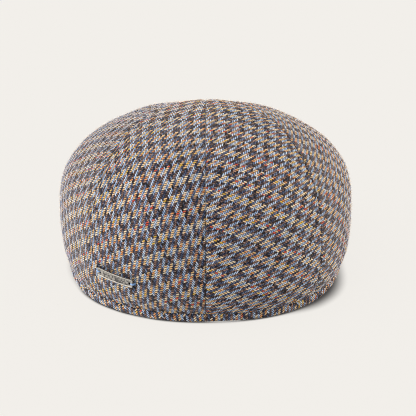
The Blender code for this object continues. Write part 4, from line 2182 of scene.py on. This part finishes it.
@dataclass
class Plate:
    """The metal plate on the left back panel, and the thread that sews it down."""

    form: CapForm
    metal: bpy.types.Material
    thread: bpy.types.Material
    length: float = 0.0278
    width: float = 0.0053
    thickness: float = 0.0009
    angle: float = 35.0
    rise: float = 0.0266
    tilt: float = 6.5
    corner: float = 0.0005
    rim: float = 0.00070
    bevel: float = 0.00016
    sunken: float = 0.00014
    hole: float = 0.0016
    hole_inset: float = 0.0022
    crease_room: float = 0.0005
    columns: int = 150
    rows: int = 30
    thread_radius: float = 0.00030
    thread_past_end: float = 0.0013
    thread_start: float = 0.34
    thread_height: float = 0.0004
    thread_dive: float = 1.06
    thread_arch: float = 0.6
    thread_foot: float = 0.2
    thread_sunk: float = 0.0008
    thread_sides: int = 8
    thread_steps: int = 18
    stitches: tuple[tuple[int, float], ...] = ((-1, 0.0011), (-1, 0.0003), (1, -0.0004), (1, 0.0004))
    hole_sides: int = 32
    sharp: float = 40.0
    samples: int = 400
    step: float = 1e-4

    def _crown_frame(self, angle: Array, share: Array) -> tuple[Array, Array, Array]:
        """Places on the crown with their slopes by angle and by share.

        Args:
            angle: Angles in radians.
            share: Shares of the way from hem to apex.

        Returns:
            The places and both slopes.
        """
        crown, step = self.form.crown, self.step
        by_angle = (crown(angle + step, share) - crown(angle - step, share)) / (2 * step)
        by_share = (crown(angle, share + step) - crown(angle, share - step)) / (2 * step)
        return crown(angle, share), by_angle, by_share

    def on_crown(self, x: Array, y: Array, out: Array) -> Array:
        """Points over the cloth.

        Args:
            x: How far along the plate, towards the back seam.
            y: How far up it.
            out: How far out from the cloth.

        Returns:
            The points, one row each.
        """
        middle, tilt = -math.radians(self.angle), math.radians(self.tilt)
        shares = np.linspace(0.0, 0.8, self.samples)
        heights = self.form.crown(np.full(self.samples, middle), shares)[:, 2]
        share = np.interp(self.rise, heights, shares)
        level = x * math.cos(tilt) + y * math.sin(tilt)
        up = y * math.cos(tilt) - x * math.sin(tilt)
        _, by_angle, _ = self._crown_frame(np.array([middle]), np.array([share]))
        angles = middle + level / np.linalg.norm(by_angle)
        _, _, by_share = self._crown_frame(angles, np.full(len(x), share))
        shares = share + up / np.linalg.norm(by_share, axis=1)
        places, by_angle, by_share = self._crown_frame(angles, shares)
        return places + unit(np.cross(by_angle, by_share)) * out[:, None]

    def crease(self) -> Crease:
        """The crease in the cloth along the plate's upper edge and inner end, and under its holes, where
        shade is also painted.

        Returns:
            The crease.
        """
        top = self.width / 2 + self.crease_room
        past = self.length / 2 + self.crease_room
        corners = np.array([(-self.length / 2, top), (past, top), (past, -top)])
        lengths = np.concatenate([[0.0], np.cumsum(np.linalg.norm(np.diff(corners, axis=0), axis=1))])
        along = np.linspace(0.0, lengths[-1], 120)
        holes = self.length / 2 - self.hole_inset
        x = np.append(np.interp(along, lengths, corners[:, 0]), (-holes, holes))
        y = np.append(np.interp(along, lengths, corners[:, 1]), (0.0, 0.0))
        return Crease(self.on_crown(x, y, np.zeros(len(x))))

    def _height(self, x: Array, y: Array) -> Array:
        """How far the top lies over the plate's underside: a raised rim round a sunken field.

        Args:
            x: How far along the plate.
            y: How far up it.

        Returns:
            The height at each place.
        """
        edge = np.minimum(self.length / 2 - np.abs(x), self.width / 2 - np.abs(y))
        past = np.clip(1.0 - edge / self.bevel, 0.0, 1.0)
        rounded = self.bevel * (1.0 - np.sqrt(1.0 - past**2))
        sunk = self.sunken * eased((edge - self.rim) / self.bevel)
        around = np.hypot(np.abs(x) - self.length / 2 + self.hole_inset, y)
        worn = 0.5 * self.bevel * (1.0 - eased((around - self.hole / 2) / self.bevel))
        return self.thickness - rounded - sunk - worn

    def _lines(self, size: float, count: int) -> Array:
        """Grid lines across the plate, with more of them at the bevels of its rim.

        Args:
            size: How far the lines reach in all.
            count: How many there are between the bevels.

        Returns:
            The lines' places.
        """
        near = np.array([0.0, 0.35, 0.7, 1.0]) * self.bevel
        near = np.concatenate([near, self.rim + np.array([0.0, 0.35, 0.7, 1.05]) * self.bevel])
        inner = np.linspace(-size / 2 + near[-1], size / 2 - near[-1], count)[1:-1]
        return np.concatenate([-size / 2 + near, inner, (size / 2 - near)[::-1]])

    def _body(self) -> bpy.types.Object:
        """The plate laid flat and closed, before it is drilled.

        Returns:
            The plate.
        """
        xs, ys = self._lines(self.length, self.columns), self._lines(self.width, self.rows)
        x, y = (grid.ravel() for grid in np.meshgrid(xs, ys, indexing="ij"))
        top = self._height(x, y)
        past_x = np.maximum(np.abs(x) - self.length / 2 + self.corner, 0.0)
        past_y = np.maximum(np.abs(y) - self.width / 2 + self.corner, 0.0)
        shrink = np.maximum(past_x, past_y) / np.maximum(np.hypot(past_x, past_y), LEAST_SHARE)
        both = (past_x > 0.0) & (past_y > 0.0)
        x = np.where(both, x + np.sign(x) * past_x * (shrink - 1.0), x)
        y = np.where(both, y + np.sign(y) * past_y * (shrink - 1.0), y)
        count = len(x)
        number = np.arange(count).reshape(len(xs), len(ys))
        top_faces = cells(number).reshape(-1, 4)
        edge = np.concatenate([number[:, 0], number[-1, 1:], number[-2::-1, -1], number[0, -2:0:-1]])
        following = np.roll(edge, -1)
        wall = np.stack([edge + count, following + count, following, edge], -1)
        faces = np.concatenate([top_faces, top_faces[:, ::-1] + count, wall])
        places = np.concatenate([np.stack([x, y, top], -1), np.stack([x, y, np.zeros(count)], -1)])
        mesh = bpy.data.meshes.new("badge_plate_metal")
        mesh.from_pydata(places.tolist(), [], faces.tolist())
        return placed("badge_plate_metal", mesh)

    def _drilled(self, thing: bpy.types.Object) -> None:
        """Cuts a sewing hole near each end.

        Args:
            thing: The plate, laid flat.
        """
        cutters = []
        count = self.hole_sides
        for side in (-1, 1):
            sweep = np.linspace(0.0, 2 * np.pi, count + 1)[:-1]
            ring = np.stack([np.cos(sweep), np.sin(sweep)], -1) * self.hole / 2
            ring[:, 0] += side * (self.length / 2 - self.hole_inset)
            low = np.column_stack([ring, np.full(count, -self.thickness)])
            high = np.column_stack([ring, np.full(count, 2 * self.thickness)])
            walls = [(i, (i + 1) % count, (i + 1) % count + count, i + count) for i in range(count)]
            ends = [tuple(range(count - 1, -1, -1)), tuple(range(count, 2 * count))]
            mesh = bpy.data.meshes.new("hole_cutter")
            mesh.from_pydata(np.concatenate([low, high]).tolist(), [], walls + ends)
            cutter = placed("hole_cutter", mesh)
            cutters.append(cutter)
            cut = thing.modifiers.new("sewing_hole", "BOOLEAN")
            cut.operation = "DIFFERENCE"
            cut.solver = "EXACT"
            cut.object = cutter
        seen = thing.evaluated_get(bpy.context.evaluated_depsgraph_get())
        drilled = bpy.data.meshes.new_from_object(seen)
        thing.modifiers.clear()
        thing.data = drilled
        for cutter in cutters:
            bpy.data.objects.remove(cutter, do_unlink=True)

    def _stitch(self, side: int, spread: float) -> tuple[Array, Array]:
        """One turn of thread from a sewing hole, over the plate's end and into the cloth.

        Args:
            side: -1 for the outer end, 1 for the end towards the back seam.
            spread: How far the thread slants up the plate on its way.

        Returns:
            The tube's points and faces.
        """
        share = np.linspace(0.0, 1.0, self.thread_steps)
        start = self.length / 2 - self.hole_inset + self.hole * self.thread_start
        end = self.length / 2 + self.thread_past_end
        x = side * (start + (end - start) * share)
        y = spread * share
        lift = np.sin(np.pi * np.clip(share * self.thread_dive, 0.0, 1.0)) ** self.thread_arch
        out = self.thickness * self.thread_foot + (self.thickness + self.thread_height) * lift
        out = out - self.thread_sunk * share**4
        line = self.on_crown(x, y, out)
        ahead = unit(np.gradient(line, axis=0))
        aside = unit(np.cross(ahead, unit(line - (0.0, self.form.middle_y, self.rise))))
        over = np.cross(aside, ahead)
        turns = np.linspace(0.0, 2 * np.pi, self.thread_sides + 1)[:-1]
        cos, sin = np.cos(turns)[:, None], np.sin(turns)[:, None]
        rings = line[:, None] + self.thread_radius * (cos * aside[:, None] + sin * over[:, None])
        points = np.concatenate([rings.reshape(-1, 3), line[:1], line[-1:]])
        sides = self.thread_sides
        faces = []
        for step in range(self.thread_steps - 1):
            for i in range(sides):
                j = (i + 1) % sides
                base = step * sides
                faces.append((base + i, base + j, base + sides + j))
                faces.append((base + i, base + sides + j, base + sides + i))
        last = (self.thread_steps - 1) * sides
        for i in range(sides):
            j = (i + 1) % sides
            faces.append((len(points) - 2, j, i))
            faces.append((len(points) - 1, last + i, last + j))
        return points, np.array(faces)

    def build(self) -> list[bpy.types.Object]:
        """Builds and dresses the plate and its thread.

        Returns:
            Both pieces.
        """
        plate = self._body()
        self._drilled(plate)
        flat = np.empty(len(plate.data.vertices) * 3)
        plate.data.vertices.foreach_get("co", flat)
        flat = flat.reshape(-1, 3)
        depth = plate.data.attributes.new("raised", "FLOAT", "POINT")
        raised = np.clip(1.0 - (self.thickness - flat[:, 2]) / self.sunken, 0.0, 1.0)
        depth.data.foreach_set("value", raised.astype(np.float32))
        laid = self.on_crown(flat[:, 0], flat[:, 1], self.form.clearance + flat[:, 2])
        plate.data.vertices.foreach_set("co", laid.astype(np.float32).ravel())
        plate.data.shade_smooth()
        plate.data.set_sharp_from_angle(angle=math.radians(self.sharp))
        plate.data.update()
        dress(plate, self.metal, "plate_metal", "badge_plate")
        points, faces, count = [], [], 0
        for side, spread in self.stitches:
            tube, tube_faces = self._stitch(side, spread)
            points.append(tube)
            faces.append(tube_faces + count)
            count += len(tube)
        mesh = bpy.data.meshes.new("plate_thread")
        mesh.from_pydata(np.concatenate(points).tolist(), [], np.concatenate(faces).tolist())
        mesh.shade_smooth()
        sewing = placed("plate_thread", mesh)
        dress(sewing, self.thread, "wool")
        return [plate, sewing]


def dress(thing: bpy.types.Object, finish: bpy.types.Material, slot: str, *nodes: str) -> None:
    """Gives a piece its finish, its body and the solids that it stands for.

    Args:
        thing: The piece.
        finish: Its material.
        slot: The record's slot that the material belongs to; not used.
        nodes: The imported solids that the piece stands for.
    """
    thing.data.materials.append(finish)
    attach(thing, "root")
    if nodes:
        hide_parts(*nodes)
    triangles = len(thing.data.loops) - 2 * len(thing.data.polygons)
    log.info("%s: %d triangles", thing.name, triangles)


def main() -> None:
    """Builds the studio and the cap."""
    logging.basicConfig(level=logging.INFO, format="%(name)s: %(message)s")
    form = CapForm.from_frame()
    studio = Studio(form)
    studio.build()
    wool = WoolFinish().material("wool_houndstooth")
    fibres = FibreFinish().materials()
    silver = AntiqueSilver().material("antique_silver")
    thread = SewingThread().material("sewing_thread")
    plate = Plate(form, silver, thread)
    pieces = Crown(form, wool, fibres, crease=plate.crease()).build()
    pieces += Hem(form, wool, fibres).build()
    pieces += Peak(form, wool, fibres).build()
    pieces += plate.build()
    studio.light(pieces)


if __name__ == "__main__":
    main()
